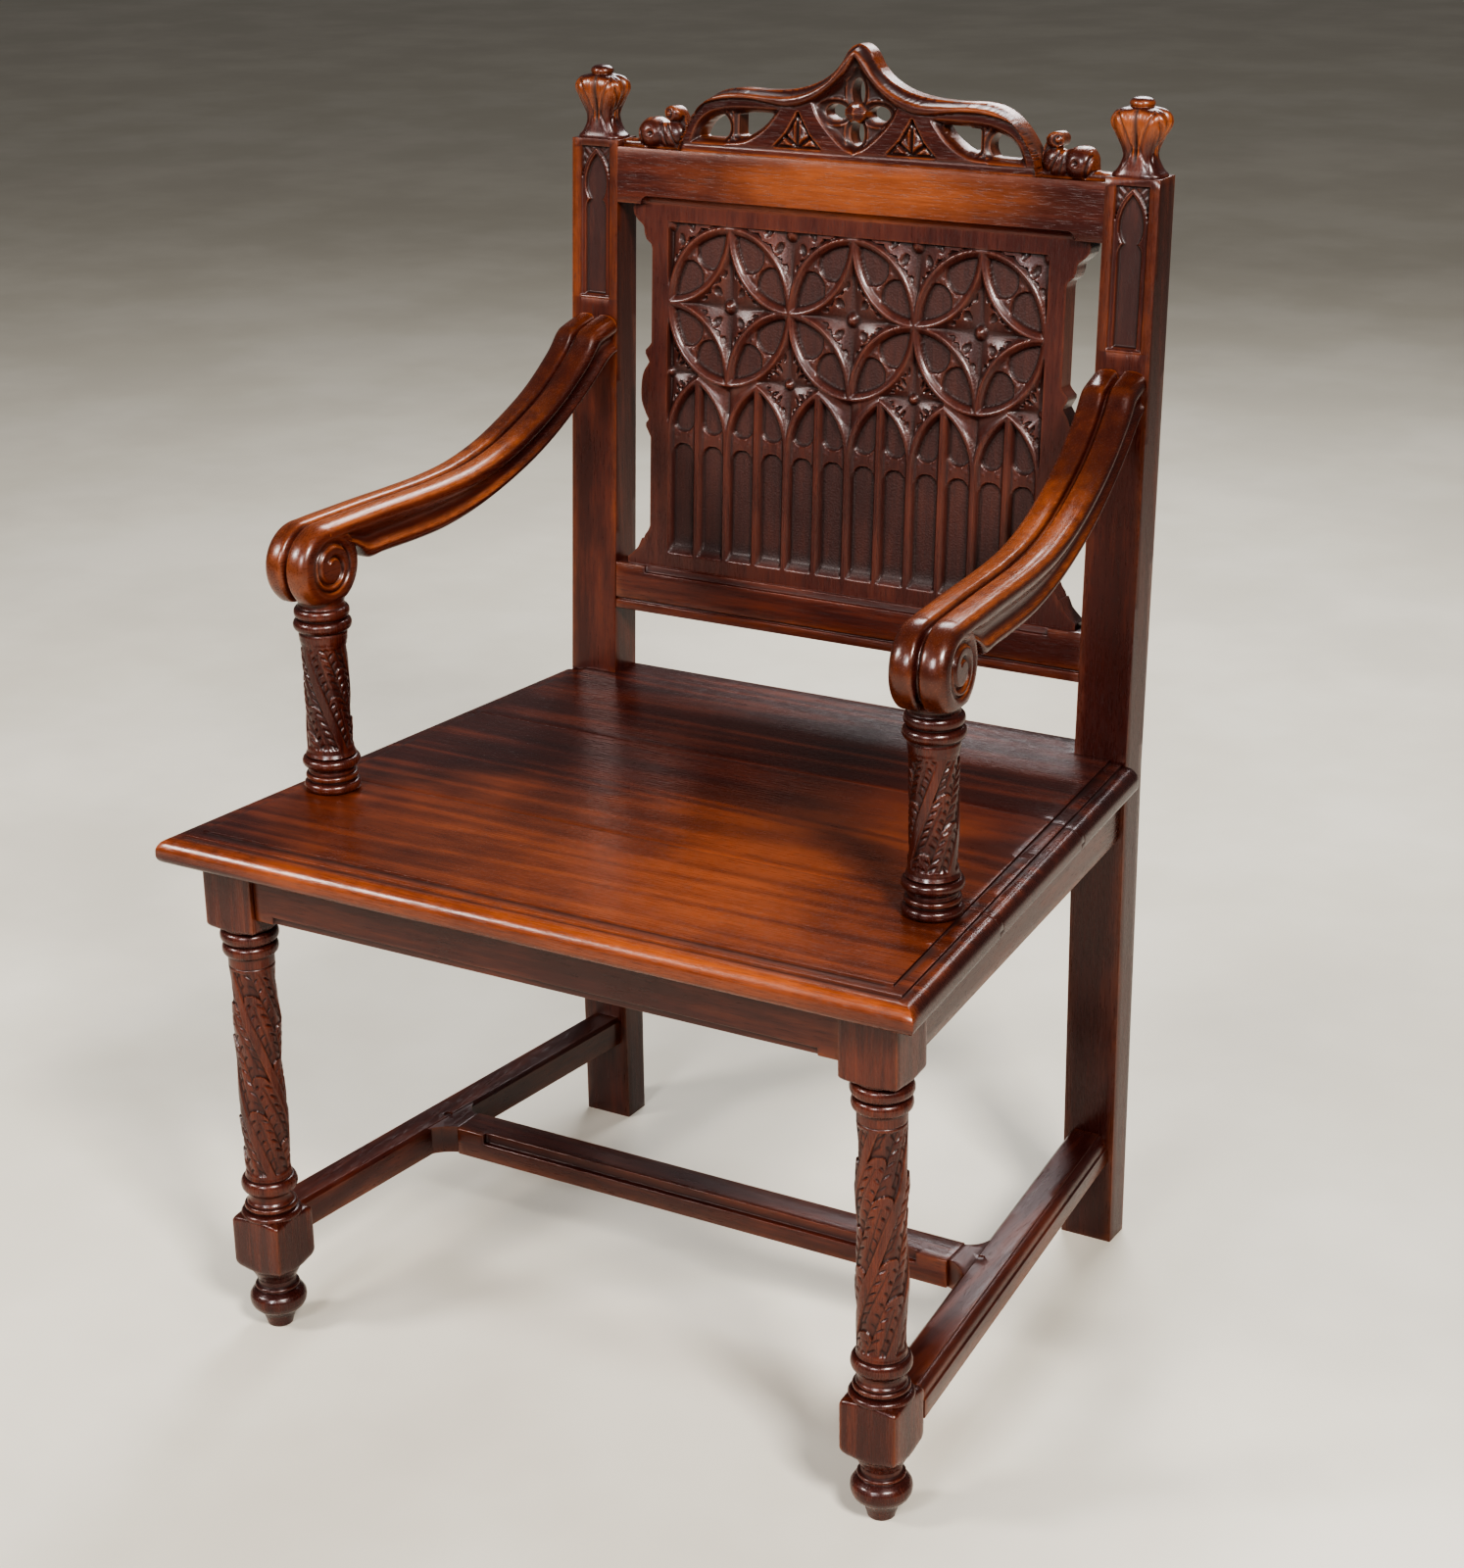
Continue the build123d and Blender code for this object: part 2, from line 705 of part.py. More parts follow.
# ------------------------------------------------------------------ front legs
foot_turning = [
    (12, 0),
    (15.5, 9),
    (17.5, 33, 24),
    (16.5, 35),
    (16, 42, 15.2),
    (21, 54, 17),
    (21, leg_block_low[0]),
]
shaft_turning = [
    (20.5, leg_block_low[1]),
    (20.5, 112, 25.4),
    (19.5, 113),
    (19.5, 118, 22),
    (18.6, 119),
    (18.6, 127, 17.2),
    (19.5, 128),
    (19.5, 141, 23.6),
    (18.6, 143),
    (19.4, 190),
    (18.6, 250),
    (19.4, 285),
    (18.4, 330),
    (20.5, 341, 18.6),
    (20.5, 351, 23),
    (20.5, 353),
    (20.5, 363, 24),
    (20.5, leg_block_top_bottom),
]
with BuildPart() as front_leg_right:
    block(
        Plane.XY,
        (leg_inner, leg_front, leg_block_top_bottom),
        (leg_outer, leg_back, seat_under),
    )
    block(
        Plane.XY,
        (leg_inner, leg_front, leg_block_low[0]),
        (leg_outer, leg_back, leg_block_low[1]),
    )
    upright = edges().filter_by(Plane.XY).filter_by(lambda e: e.center().Z < seat_under - 1)
    chamfer(upright, 4)
    turning(leg_x, leg_y, foot_turning)
    turning(leg_x, leg_y, shaft_turning)
    block(
        Plane.XY,
        (leg_inner, front_tenon_y[0], seat_tenon_z[0]),
        (leg_inner + tenon, front_tenon_y[1], seat_tenon_z[1]),
        mode=Mode.SUBTRACT,
    )
    block(
        Plane.XY,
        (side_front_x - tenon_thick / 2, leg_back - tenon, seat_tenon_z[0]),
        (side_front_x + tenon_thick / 2, leg_back, seat_tenon_z[1]),
        mode=Mode.SUBTRACT,
    )
    block(
        Plane.XY,
        (stretch_front_x - 5, leg_back - tenon, stretch_tenon_z[0]),
        (stretch_front_x + 5, leg_back, stretch_tenon_z[1]),
        mode=Mode.SUBTRACT,
    )
save_pair(front_leg_right, "front_leg")

# ------------------------------------------------------------------ stretchers
stretch_slope = (leg_outer - post_outer + 5) / (post_front - leg_back)
stretch_run = Vector(-stretch_slope, 1, 0).normalized()
stretch_height = stretcher_top - stretcher_bottom


def stretch_x(y: float) -> float:
    """X of the side stretcher's outer face."""
    return leg_outer - stretch_slope * (y - leg_back)


with BuildPart() as side_stretcher_right:
    start_plane = Plane(
        origin=(leg_outer, leg_back, stretcher_bottom), x_dir=(-1, -stretch_slope, 0), z_dir=stretch_run
    )
    with BuildSketch(start_plane.offset(-20)):
        with BuildLine():  # ovolo and fillet on the outer side, chamfer on the inner
            Polyline((8, 25), (8, stretch_height), (stretcher_width - 3, stretch_height))
            Line((stretcher_width - 3, stretch_height), (stretcher_width, stretch_height - 3))
            Polyline((stretcher_width, stretch_height - 3), (stretcher_width, 0), (0, 0), (0, 15), (1.5, 16))
            ThreePointArc((1.5, 16), (3, 22), (8, 25))
        make_face()
    extrude(amount=post_front - leg_back + 60)
    block(
        Plane.XY,
        (150, leg_back, 0),
        (350, post_front, 200),
        mode=Mode.INTERSECT,
    )
    with BuildSketch(Plane.XY.offset(stretcher_bottom)):
        with BuildLine():
            near, far = cross_middle - 14, cross_middle + 14
            skirt = 16.0
            inner_near = stretch_x(near - skirt) - stretcher_width + 1
            inner_far = stretch_x(far + skirt) - stretcher_width + 1
            ThreePointArc((inner_near, near - skirt), (249, near - 4), (tongue_x, near))
            Line((tongue_x, near), (tongue_x, far))
            ThreePointArc((tongue_x, far), (248, far + 4), (inner_far, far + skirt))
            Polyline(
                (inner_far, far + skirt),
                (inner_far + 4, far + skirt),
                (inner_near + 4, near - skirt),
                (inner_near, near - skirt),
            )
        make_face()
    extrude(amount=stretch_height - 1)
    block(  # mortise for the cross stretcher
        Plane.XY,
        (tongue_x, cross_tenon_y[0], stretch_tenon_z[0]),
        (tongue_x + cross_tenon, cross_tenon_y[1], stretch_tenon_z[1]),
        mode=Mode.SUBTRACT,
    )
    for middle_x, start, end in (
        (stretch_front_x, leg_back - tenon, leg_back),
        (stretch_rear_x, post_front, post_front + tenon),
    ):
        block(
            Plane.XY,
            (middle_x - 5, start, stretch_tenon_z[0]),
            (middle_x + 5, end, stretch_tenon_z[1]),
        )
    rod((peg_x, cross_middle, stretcher_top), (0, 0, -1), peg_radius, 22, mode=Mode.SUBTRACT)
save_pair(side_stretcher_right, "side_stretcher")

with BuildPart() as cross_stretcher:
    block(
        Plane.XY,
        (0, cross_middle - cross_width / 2, stretcher_bottom),
        (tongue_x, cross_middle + cross_width / 2, stretcher_top - 1),
    )
    block(
        Plane.XY,
        (tongue_x, cross_tenon_y[0], stretch_tenon_z[0]),
        (tongue_x + cross_tenon, cross_tenon_y[1], stretch_tenon_z[1]),
    )
    rod((peg_x, cross_middle, stretcher_top), (0, 0, -1), peg_radius, 22, mode=Mode.SUBTRACT)
    mirror(about=Plane.YZ)
    block(  # stopped moulding along the front edge
        Plane.XY,
        (28 - tongue_x, cross_middle - cross_width / 2, stretcher_bottom + 16),
        (tongue_x - 28, cross_middle - cross_width / 2 + 5, stretcher_top),
        mode=Mode.SUBTRACT,
    )
save(cross_stretcher, "cross_stretcher")

with BuildPart() as stretcher_pegs:
    rod((peg_x, cross_middle, stretcher_top - 1), (0, 0, -1), peg_radius, 21)
    mirror(about=Plane.YZ)
save(stretcher_pegs, "stretcher_pegs")
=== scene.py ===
"""Looks of a carved Gothic Revival armchair, built over its plain solids.

Sizes of the chair's pieces are in millimetres in its own frame and become metres when a mesh is
made; lights, the floor and the places in materials are in metres. +Z is up and the front of the
chair faces -Y.
"""

import logging
import math
from dataclasses import dataclass, field
from enum import Enum
from typing import Callable, Sequence

import bmesh
import bpy
import numpy as np
from mathutils import Matrix, Vector


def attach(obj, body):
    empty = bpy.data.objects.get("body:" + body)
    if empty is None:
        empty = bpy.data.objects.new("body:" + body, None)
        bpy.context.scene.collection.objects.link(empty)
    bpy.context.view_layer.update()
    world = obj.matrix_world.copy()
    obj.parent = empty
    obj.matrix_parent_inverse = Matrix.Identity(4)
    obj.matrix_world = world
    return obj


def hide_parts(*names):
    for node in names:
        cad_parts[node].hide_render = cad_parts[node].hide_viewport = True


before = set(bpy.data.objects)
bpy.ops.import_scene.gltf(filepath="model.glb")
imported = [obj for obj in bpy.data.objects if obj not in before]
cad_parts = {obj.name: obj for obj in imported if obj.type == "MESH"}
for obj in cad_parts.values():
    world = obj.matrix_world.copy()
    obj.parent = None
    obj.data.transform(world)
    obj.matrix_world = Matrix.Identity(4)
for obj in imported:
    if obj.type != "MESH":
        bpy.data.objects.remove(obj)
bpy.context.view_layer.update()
LOG = logging.getLogger("armchair")
MM = 0.001

Array = np.ndarray
Point = tuple[float, float]


# ---------------------------------------------------------------- shader building
class Channel:
    """A shader socket that takes part in plain arithmetic."""

    def __init__(self, graph: "Graph", socket: bpy.types.NodeSocket) -> None:
        """Keep the socket and the graph that it belongs to."""
        self.graph = graph
        self.socket = socket

    def maths(self, operation: str, *others: "Channel | float") -> "Channel":
        """Add a Math node on this channel.

        Args:
            operation: the node's operation name.
            others: the remaining operands, in order.

        Returns:
            The node's result.
        """
        operands = dict(enumerate((self, *others)))
        return self.graph.add("ShaderNodeMath", {"operation": operation}, operands)

    def __add__(self, other: "Channel | float") -> "Channel":
        """Sum."""
        return self.maths("ADD", other)

    def __radd__(self, other: float) -> "Channel":
        """Sum, reflected."""
        return self.maths("ADD", other)

    def __sub__(self, other: "Channel | float") -> "Channel":
        """Difference."""
        return self.maths("SUBTRACT", other)

    def __rsub__(self, other: float) -> "Channel":
        """Difference, reflected."""
        return self.graph.add("ShaderNodeMath", {"operation": "SUBTRACT"}, {0: other, 1: self})

    def __mul__(self, other: "Channel | float") -> "Channel":
        """Product."""
        return self.maths("MULTIPLY", other)

    def __rmul__(self, other: float) -> "Channel":
        """Product, reflected."""
        return self.maths("MULTIPLY", other)

    def __pow__(self, other: float) -> "Channel":
        """Power."""
        return self.maths("POWER", other)

    def clamp(self) -> "Channel":
        """Keep the value from 0 to 1."""
        return self.maths("MAXIMUM", 0.0).maths("MINIMUM", 1.0)

    def band(self, low: float, high: float) -> "Channel":
        """Smooth step of the value from low to high."""
        settings = {"interpolation_type": "SMOOTHSTEP"}
        return self.graph.add("ShaderNodeMapRange", settings, {0: self, 1: low, 2: high})


class Graph:
    """The node tree of one material."""

    def __init__(self, name: str) -> None:
        """Start an empty material.

        Args:
            name: the material's name.
        """
        self.material = bpy.data.materials.new(name)
        self.material.use_nodes = True
        self.tree = self.material.node_tree
        self.tree.nodes.clear()

    def add(self, kind: str, settings: dict, sockets: dict, result: int | str | None = 0) -> Channel:
        """Add one node.

        Args:
            kind: the node's type.
            settings: node properties, set first; "stops" holds a ramp's (place, colour) pairs.
            sockets: values or channels by input name or index.
            result: the output to hand back.

        Returns:
            The chosen output as a channel.
        """
        node = self.tree.nodes.new(kind)
        for key, value in settings.items():
            if key == "stops":
                ramp = node.color_ramp
                while len(ramp.elements) < len(value):
                    ramp.elements.new(0.5)
                for element, (place, colour) in zip(ramp.elements, value):
                    element.position = place
                    element.color = (*colour, 1.0)
            else:
                setattr(node, key, value)
        for key, value in sockets.items():
            if isinstance(value, Channel):
                self.tree.links.new(value.socket, node.inputs[key])
            elif isinstance(value, tuple) and len(value) == 3 and len(node.inputs[key].default_value) == 4:
                node.inputs[key].default_value = (*value, 1.0)
            else:
                node.inputs[key].default_value = value
        return Channel(self, None if result is None else node.outputs[result])

    def blend(self, factor: Channel | float, first: "Channel | tuple", second: "Channel | tuple") -> Channel:
        """Mix two colours by a factor."""
        return self.add("ShaderNodeMix", {"data_type": "RGBA"}, {0: factor, 6: first, 7: second}, 2)

    def noise(self, place: Channel, scale: float, detail: float = 2.0, rough: float = 0.5) -> Channel:
        """Soft noise at a scale per metre."""
        sockets = {"Vector": place, "Scale": scale, "Detail": detail, "Roughness": rough}
        return self.add("ShaderNodeTexNoise", {}, sockets)

    def add_output(self, shader: Channel) -> None:
        """Join a shader to the material's output."""
        self.add("ShaderNodeOutputMaterial", {}, {0: shader}, None)

    def attribute(self, name: str) -> Channel:
        """A number stored on the mesh's vertices."""
        return self.add("ShaderNodeAttribute", {"attribute_name": name}, {}, "Fac")


class Grain(Enum):
    """The way the wood's fibres run, as the turn that lays them along local Z."""

    ACROSS = (0.0, math.pi / 2, 0.0)
    DEEP = (math.pi / 2, 0.0, 0.0)
    UPRIGHT = (0.0, 0.0, 0.0)


@dataclass(frozen=True)
class StainedWood:
    """Dark stained and waxed hardwood with open grain and worn edges, painted shade in its recesses and an
    optional painted sheen.
    """

    name: str
    grain: Grain = Grain.UPRIGHT
    deep: tuple[float, float, float] = (0.026, 0.0052, 0.0040)
    body: tuple[float, float, float] = (0.068, 0.0128, 0.0078)
    light: tuple[float, float, float] = (0.135, 0.030, 0.0125)
    # colour of worn edges, also used for the painted sheen
    rubbed_and_sheen: tuple[float, float, float] = (0.40, 0.118, 0.032)
    # colour of the painted shade in recesses, also used to darken the pores
    grime: tuple[float, float, float] = (0.012, 0.0035, 0.0024)
    rub: float = 0.8
    # strength of the painted shade in recesses
    recess_shade_strength: float = 0.8
    polish: float = 0.30
    figure: float = 0.55
    pores: float = 0.6
    # strength, middle and size of a painted sheen, a soft warm patch on the wood
    painted_sheen: float = 0.0
    painted_sheen_middle: tuple[float, float, float] = (0.0, 0.0, 0.0)
    painted_sheen_size: tuple[float, float, float] = (0.3, 0.3, 0.3)
    tooled: float = 0.0

    def build(self) -> bpy.types.Material:
        """Make the material.

        Returns:
            The finished node material.
        """
        g = Graph(self.name)
        plain = g.add("ShaderNodeTexCoord", {}, {}, "Object")
        turned = g.add("ShaderNodeMapping", {}, {"Vector": plain, "Rotation": self.grain.value})
        fibre = g.add("ShaderNodeMapping", {}, {"Vector": turned, "Scale": (1.0, 1.0, 0.055)})
        facing = g.add("ShaderNodeTexCoord", {}, {}, "Normal")
        along = {Grain.ACROSS: (1, 0, 0), Grain.DEEP: (0, 1, 0), Grain.UPRIGHT: (0, 0, 1)}[self.grain]
        end = g.add("ShaderNodeVectorMath", {"operation": "DOT_PRODUCT"}, {0: facing, 1: along}, "Value")
        end = end.maths("ABSOLUTE").band(0.45, 0.9)
        wide = g.noise(fibre, 11.0, 2.0, 0.5)
        rings = (wide * 58.0).maths("SINE") * 0.5 * (1 - end * 0.85)
        streak = g.noise(fibre, 150.0, 4.0, 0.6)
        fine = g.noise(fibre, 620.0, 3.0, 0.65)
        pore = g.noise(fibre, 1300.0, 2.0, 0.6).band(0.57, 0.68) * (1 - end * 0.6)
        cloud = g.noise(plain, 6.0, 3.0, 0.55)
        mottle = g.noise(plain, 75.0, 3.0, 0.6)
        tone = 0.5 + rings * self.figure * 0.38 + (streak - 0.5) * 0.6
        tone = tone + (cloud - 0.5) * 1.3 + (fine - 0.5) * 0.5
        tone = (tone - end * 0.25).clamp()
        colour = g.blend(tone, self.deep, self.body)
        colour = g.blend((tone * 1.4 + streak * 0.5 - 0.9).clamp(), colour, self.light)
        # worn colour, also the colour of the painted sheen
        wear_and_sheen = g.blend((tone * 0.75 + fine * 0.35).clamp(), self.light, self.rubbed_and_sheen)
        # painted sheen: a warm pool of light that fades out from its middle
        if self.painted_sheen > 0:
            away = g.add("ShaderNodeVectorMath", {"operation": "SUBTRACT"}, {0: plain, 1: self.painted_sheen_middle})
            away = g.add("ShaderNodeVectorMath", {"operation": "DIVIDE"}, {0: away, 1: self.painted_sheen_size})
            reach = g.add("ShaderNodeVectorMath", {"operation": "LENGTH"}, {0: away}, "Value")
            near = (1.15 - reach + (cloud - 0.5) * 1.1).band(0.0, 1.0)
            colour = g.blend(near * self.painted_sheen * (1 - end), colour, wear_and_sheen)
        rub = (g.attribute("rub") ** 2.0 * (mottle * 1.9 + cloud - 0.45)).clamp() * self.rub
        colour = g.blend(rub, colour, wear_and_sheen)
        # painted shade: creases and carved hollows darken towards the recess shade colour
        grime = (g.attribute("grime") * (0.75 + mottle * 0.5)).clamp()
        colour = g.blend(grime * self.recess_shade_strength, colour, self.grime)
        # pores darken to the same colour as the painted recess shade
        dark = g.blend(pore * (self.pores * 0.75), colour, self.grime)
        gloss = self.polish + (fine - 0.5) * 0.16 + (cloud - 0.5) * 0.16
        gloss = (gloss + grime * 0.32 + pore * 0.12).clamp()
        height = (fine * 0.4 - pore * 0.5) + mottle * 0.2
        if self.tooled > 0:
            punch = g.add(
                "ShaderNodeTexVoronoi", {"feature": "F1"}, {"Vector": plain, "Scale": 560.0}, "Distance"
            )
            height = height + punch * grime * self.tooled
        bump = g.add(
            "ShaderNodeBump", {}, {"Strength": 0.25, "Distance": 0.0006, "Height": height}, "Normal"
        )
        sockets = {
            "Base Color": dark,
            "Roughness": gloss,
            "Normal": bump,
            "Specular IOR Level": 0.5,
            "Coat Weight": 0.18,
            "Coat Roughness": 0.22,
        }
        shader = g.add("ShaderNodeBsdfPrincipled", {}, sockets)
        g.add_output(shader)
        return g.material


# ---------------------------------------------------------------- shapes in numbers
def smooth_step(value: Array, low: float, high: float) -> Array:
    """Smooth step of an array from low to high."""
    t = np.clip((value - low) / (high - low), 0.0, 1.0)
    return t * t * (3.0 - 2.0 * t)


def bump_at(distance: Array, width: float) -> Array:
    """A soft hill of height 1 over a distance of 0."""
    return np.exp(-((distance / width) ** 2))


def flowing(points: Sequence[tuple], steps: int = 8) -> Array:
    """A smooth line through points.

    Args:
        points: the points that the line passes, in order.
        steps: pieces per stretch.

    Returns:
        The line's points, one a row.
    """
    p = np.array(points, float)
    p = np.vstack([2 * p[0] - p[1], p, 2 * p[-1] - p[-2]])
    t = np.linspace(0, 1, steps, endpoint=False)[:, None]
    rows = []
    for a, b, c, d in zip(p, p[1:], p[2:], p[3:]):
        second = 2 * a - 5 * b + 4 * c - d
        third = 3 * b - a - 3 * c + d
        rows.append(0.5 * (2 * b + (c - a) * t + second * t**2 + third * t**3))
    rows.append(p[-2][None, :])
    return np.vstack(rows)


def depth_inside(x: Array, z: Array, outline: Array) -> Array:
    """Distance to a closed outline, positive inside it.

    Args:
        x: places across.
        z: places up.
        outline: the outline's corners, one a row.

    Returns:
        The signed distance at each place.
    """
    best = np.full(x.shape, 1e9)
    crossings = np.zeros(x.shape, bool)
    for (ax, az), (bx, bz) in zip(outline, np.roll(outline, -1, axis=0)):
        ex, ez = bx - ax, bz - az
        length = ex * ex + ez * ez
        if length < 1e-12:
            continue
        t = np.clip(((x - ax) * ex + (z - az) * ez) / length, 0, 1)
        best = np.minimum(best, np.hypot(x - ax - t * ex, z - az - t * ez))
        if bz != az:
            crossings ^= ((az > z) != (bz > z)) & (x < ax + (z - az) * ex / ez)
    return np.where(crossings, best, -best)


def mirrored(half: Array) -> Array:
    """Close a right-hand outline with its mirror image."""
    return np.vstack([half, half[::-1] * np.array([-1.0, 1.0])])


# ---------------------------------------------------------------- meshes
def make_piece(name: str, points: Array, faces: Sequence) -> bpy.types.Object:
    """Make an object from points in millimetres.

    Args:
        name: the piece's name.
        points: the vertices, one a row.
        faces: vertex numbers of each face.

    Returns:
        The new object, linked to the scene.
    """
    mesh = bpy.data.meshes.new(name)
    mesh.from_pydata((np.asarray(points) * MM).tolist(), [], [list(map(int, f)) for f in faces])
    piece = bpy.data.objects.new(name, mesh)
    bpy.context.scene.collection.objects.link(piece)
    return piece


def close_up(piece: bpy.types.Object, merge: float) -> bpy.types.Object:
    """Merge a piece's doubles and turn its faces outwards.

    Args:
        piece: the object.
        merge: points nearer than this become one.

    Returns:
        The same object.
    """
    bm = bmesh.new()
    bm.from_mesh(piece.data)
    bmesh.ops.remove_doubles(bm, verts=bm.verts, dist=merge * MM)
    bmesh.ops.dissolve_degenerate(bm, edges=bm.edges, dist=1e-6)
    bmesh.ops.recalc_face_normals(bm, faces=bm.faces)
    bm.to_mesh(piece.data)
    bm.free()
    return piece


def deselect() -> None:
    """Leave nothing selected."""
    for other in bpy.context.selected_objects:
        other.select_set(False)


def only(piece: bpy.types.Object) -> None:
    """Make a piece the only selected and active object.

    Args:
        piece: the object.
    """
    deselect()
    piece.select_set(True)
    bpy.context.view_layer.objects.active = piece


def apply_modifier(piece: bpy.types.Object, kind: str, **settings: object) -> None:
    """Add a modifier to a piece and apply it.

    Args:
        piece: the object.
        kind: the modifier's type.
        settings: its properties.
    """
    only(piece)
    modifier = piece.modifiers.new(kind.title(), kind)
    for key, value in settings.items():
        setattr(modifier, key, value)
    bpy.ops.object.modifier_apply(modifier=modifier.name)


def join(pieces: Sequence[bpy.types.Object]) -> bpy.types.Object:
    """Join pieces into the first one.

    Args:
        pieces: the objects, at least one.

    Returns:
        The first object, which now holds them all.
    """
    only(pieces[0])
    for piece in pieces[1:]:
        piece.select_set(True)
    bpy.ops.object.join()
    return pieces[0]


def slice_up(piece: bpy.types.Object, step: float) -> None:
    """Cut a piece's faces along even planes, so that it carries its wear finely.

    Args:
        piece: the object.
        step: distance between planes.
    """
    bm = bmesh.new()
    bm.from_mesh(piece.data)
    co = np.array([v.co for v in bm.verts])
    for axis in range(3):
        low, high = co[:, axis].min(), co[:, axis].max()
        count = int((high - low) / (step * MM))
        normal = Vector([float(i == axis) for i in range(3)])
        for k in range(1, count):
            place = normal * (low + (high - low) * k / count)
            geometry = bm.verts[:] + bm.edges[:] + bm.faces[:]
            bmesh.ops.bisect_plane(bm, geom=geometry, dist=1e-6, plane_co=place, plane_no=normal)
    bm.to_mesh(piece.data)
    bm.free()


def from_node(node: str, name: str, edge: float = 1.0, step: float = 9.0) -> bpy.types.Object:
    """Copy a CAD node and soften its edges.

    Args:
        node: the CAD node.
        name: the new piece's name.
        edge: width of the rounded edges.
        step: distance between the planes that slice it, 0 for none.

    Returns:
        The new object.
    """
    piece = bpy.data.objects.new(name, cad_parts[node].data.copy())
    bpy.context.scene.collection.objects.link(piece)
    piece.data.materials.clear()
    bm = bmesh.new()
    bm.from_mesh(piece.data)
    bmesh.ops.remove_doubles(bm, verts=bm.verts, dist=1e-6)
    bmesh.ops.dissolve_limit(bm, angle_limit=math.radians(0.6), verts=bm.verts, edges=bm.edges)
    bm.to_mesh(piece.data)
    bm.free()
    if edge > 0:
        apply_modifier(piece, "BEVEL", width=edge * MM, segments=2, limit_method="ANGLE",
                       angle_limit=math.radians(28), use_clamp_overlap=True, harden_normals=False)
    if step > 0:
        slice_up(piece, step)
    return piece


def mark_wear_and_shade(
    piece: bpy.types.Object, reach: float = 0.5, rounds: int = 3, depth: Array | None = None,
    worn: Callable[[Array, Array, Array], Array] | None = None,
) -> None:
    """Store where a piece is worn and where shade is painted in its hollows.

    Args:
        piece: the object.
        reach: how proud a place is when it is fully rubbed.
        rounds: how far round a place its form is compared.
        depth: further painted shade for each vertex, from 0 to 1.
        worn: changes the rub, given each vertex's place in millimetres, its normal and its rub.
    """
    mesh = piece.data
    count = len(mesh.vertices)
    co = np.empty(count * 3)
    mesh.vertices.foreach_get("co", co)
    co = co.reshape(-1, 3)
    pairs = np.empty(len(mesh.edges) * 2, int)
    mesh.edges.foreach_get("vertices", pairs)
    a, b = pairs.reshape(-1, 2).T
    degree = np.maximum(np.bincount(a, minlength=count) + np.bincount(b, minlength=count), 1)
    soft = co.copy()
    for _ in range(rounds):
        total = np.stack(
            [
                np.bincount(a, soft[b, k], count) + np.bincount(b, soft[a, k], count)
                for k in range(3)
            ],
            axis=1,
        )
        soft = 0.4 * soft + 0.6 * total / degree[:, None]
    normals = np.empty(count * 3)
    mesh.vertex_normals.foreach_get("vector", normals)
    normals = normals.reshape(-1, 3)
    proud = ((co - soft) * normals).sum(1) / (reach * MM)
    # hollows and creases get painted shade; proud places get wear
    grime = np.clip(-proud, 0, 1)
    rub = np.clip(proud, 0, 1)
    if worn is not None:
        rub = np.clip(worn(co / MM, normals, rub), 0, 1)
    if depth is not None:
        grime = np.clip(grime * 0.8 + depth, 0, 1)
    for label, values in (("rub", rub), ("grime", grime)):
        store = mesh.attributes.new(label, "FLOAT", "POINT")
        store.data.foreach_set("value", values.astype(np.float32))


def finish_piece(
    piece: bpy.types.Object, wood: bpy.types.Material, nodes: Sequence[str], angle: float = 40.0
) -> bpy.types.Object:
    """Dress a piece and place it in the chair.

    Args:
        piece: the object.
        wood: its material.
        nodes: the CAD nodes that it stands for.
        angle: faces that meet flatter than this shade as one.

    Returns:
        The same object.
    """
    piece.data.materials.clear()
    piece.data.materials.append(wood)
    only(piece)
    bpy.ops.object.shade_smooth_by_angle(angle=math.radians(angle))
    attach(piece, "root")
    if nodes:
        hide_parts(*nodes)
    LOG.info("%s: %d faces", piece.name, len(piece.data.polygons))
    return piece


# how the edge of a carved board is found: the share of a grid step that points are drawn from, the
# distance over which the outline's slope is taken, and how far outside it a point may still be kept
SNAP_SHARE, SLOPE_STEP, KEPT_MARGIN = 0.62, 0.05, 0.08


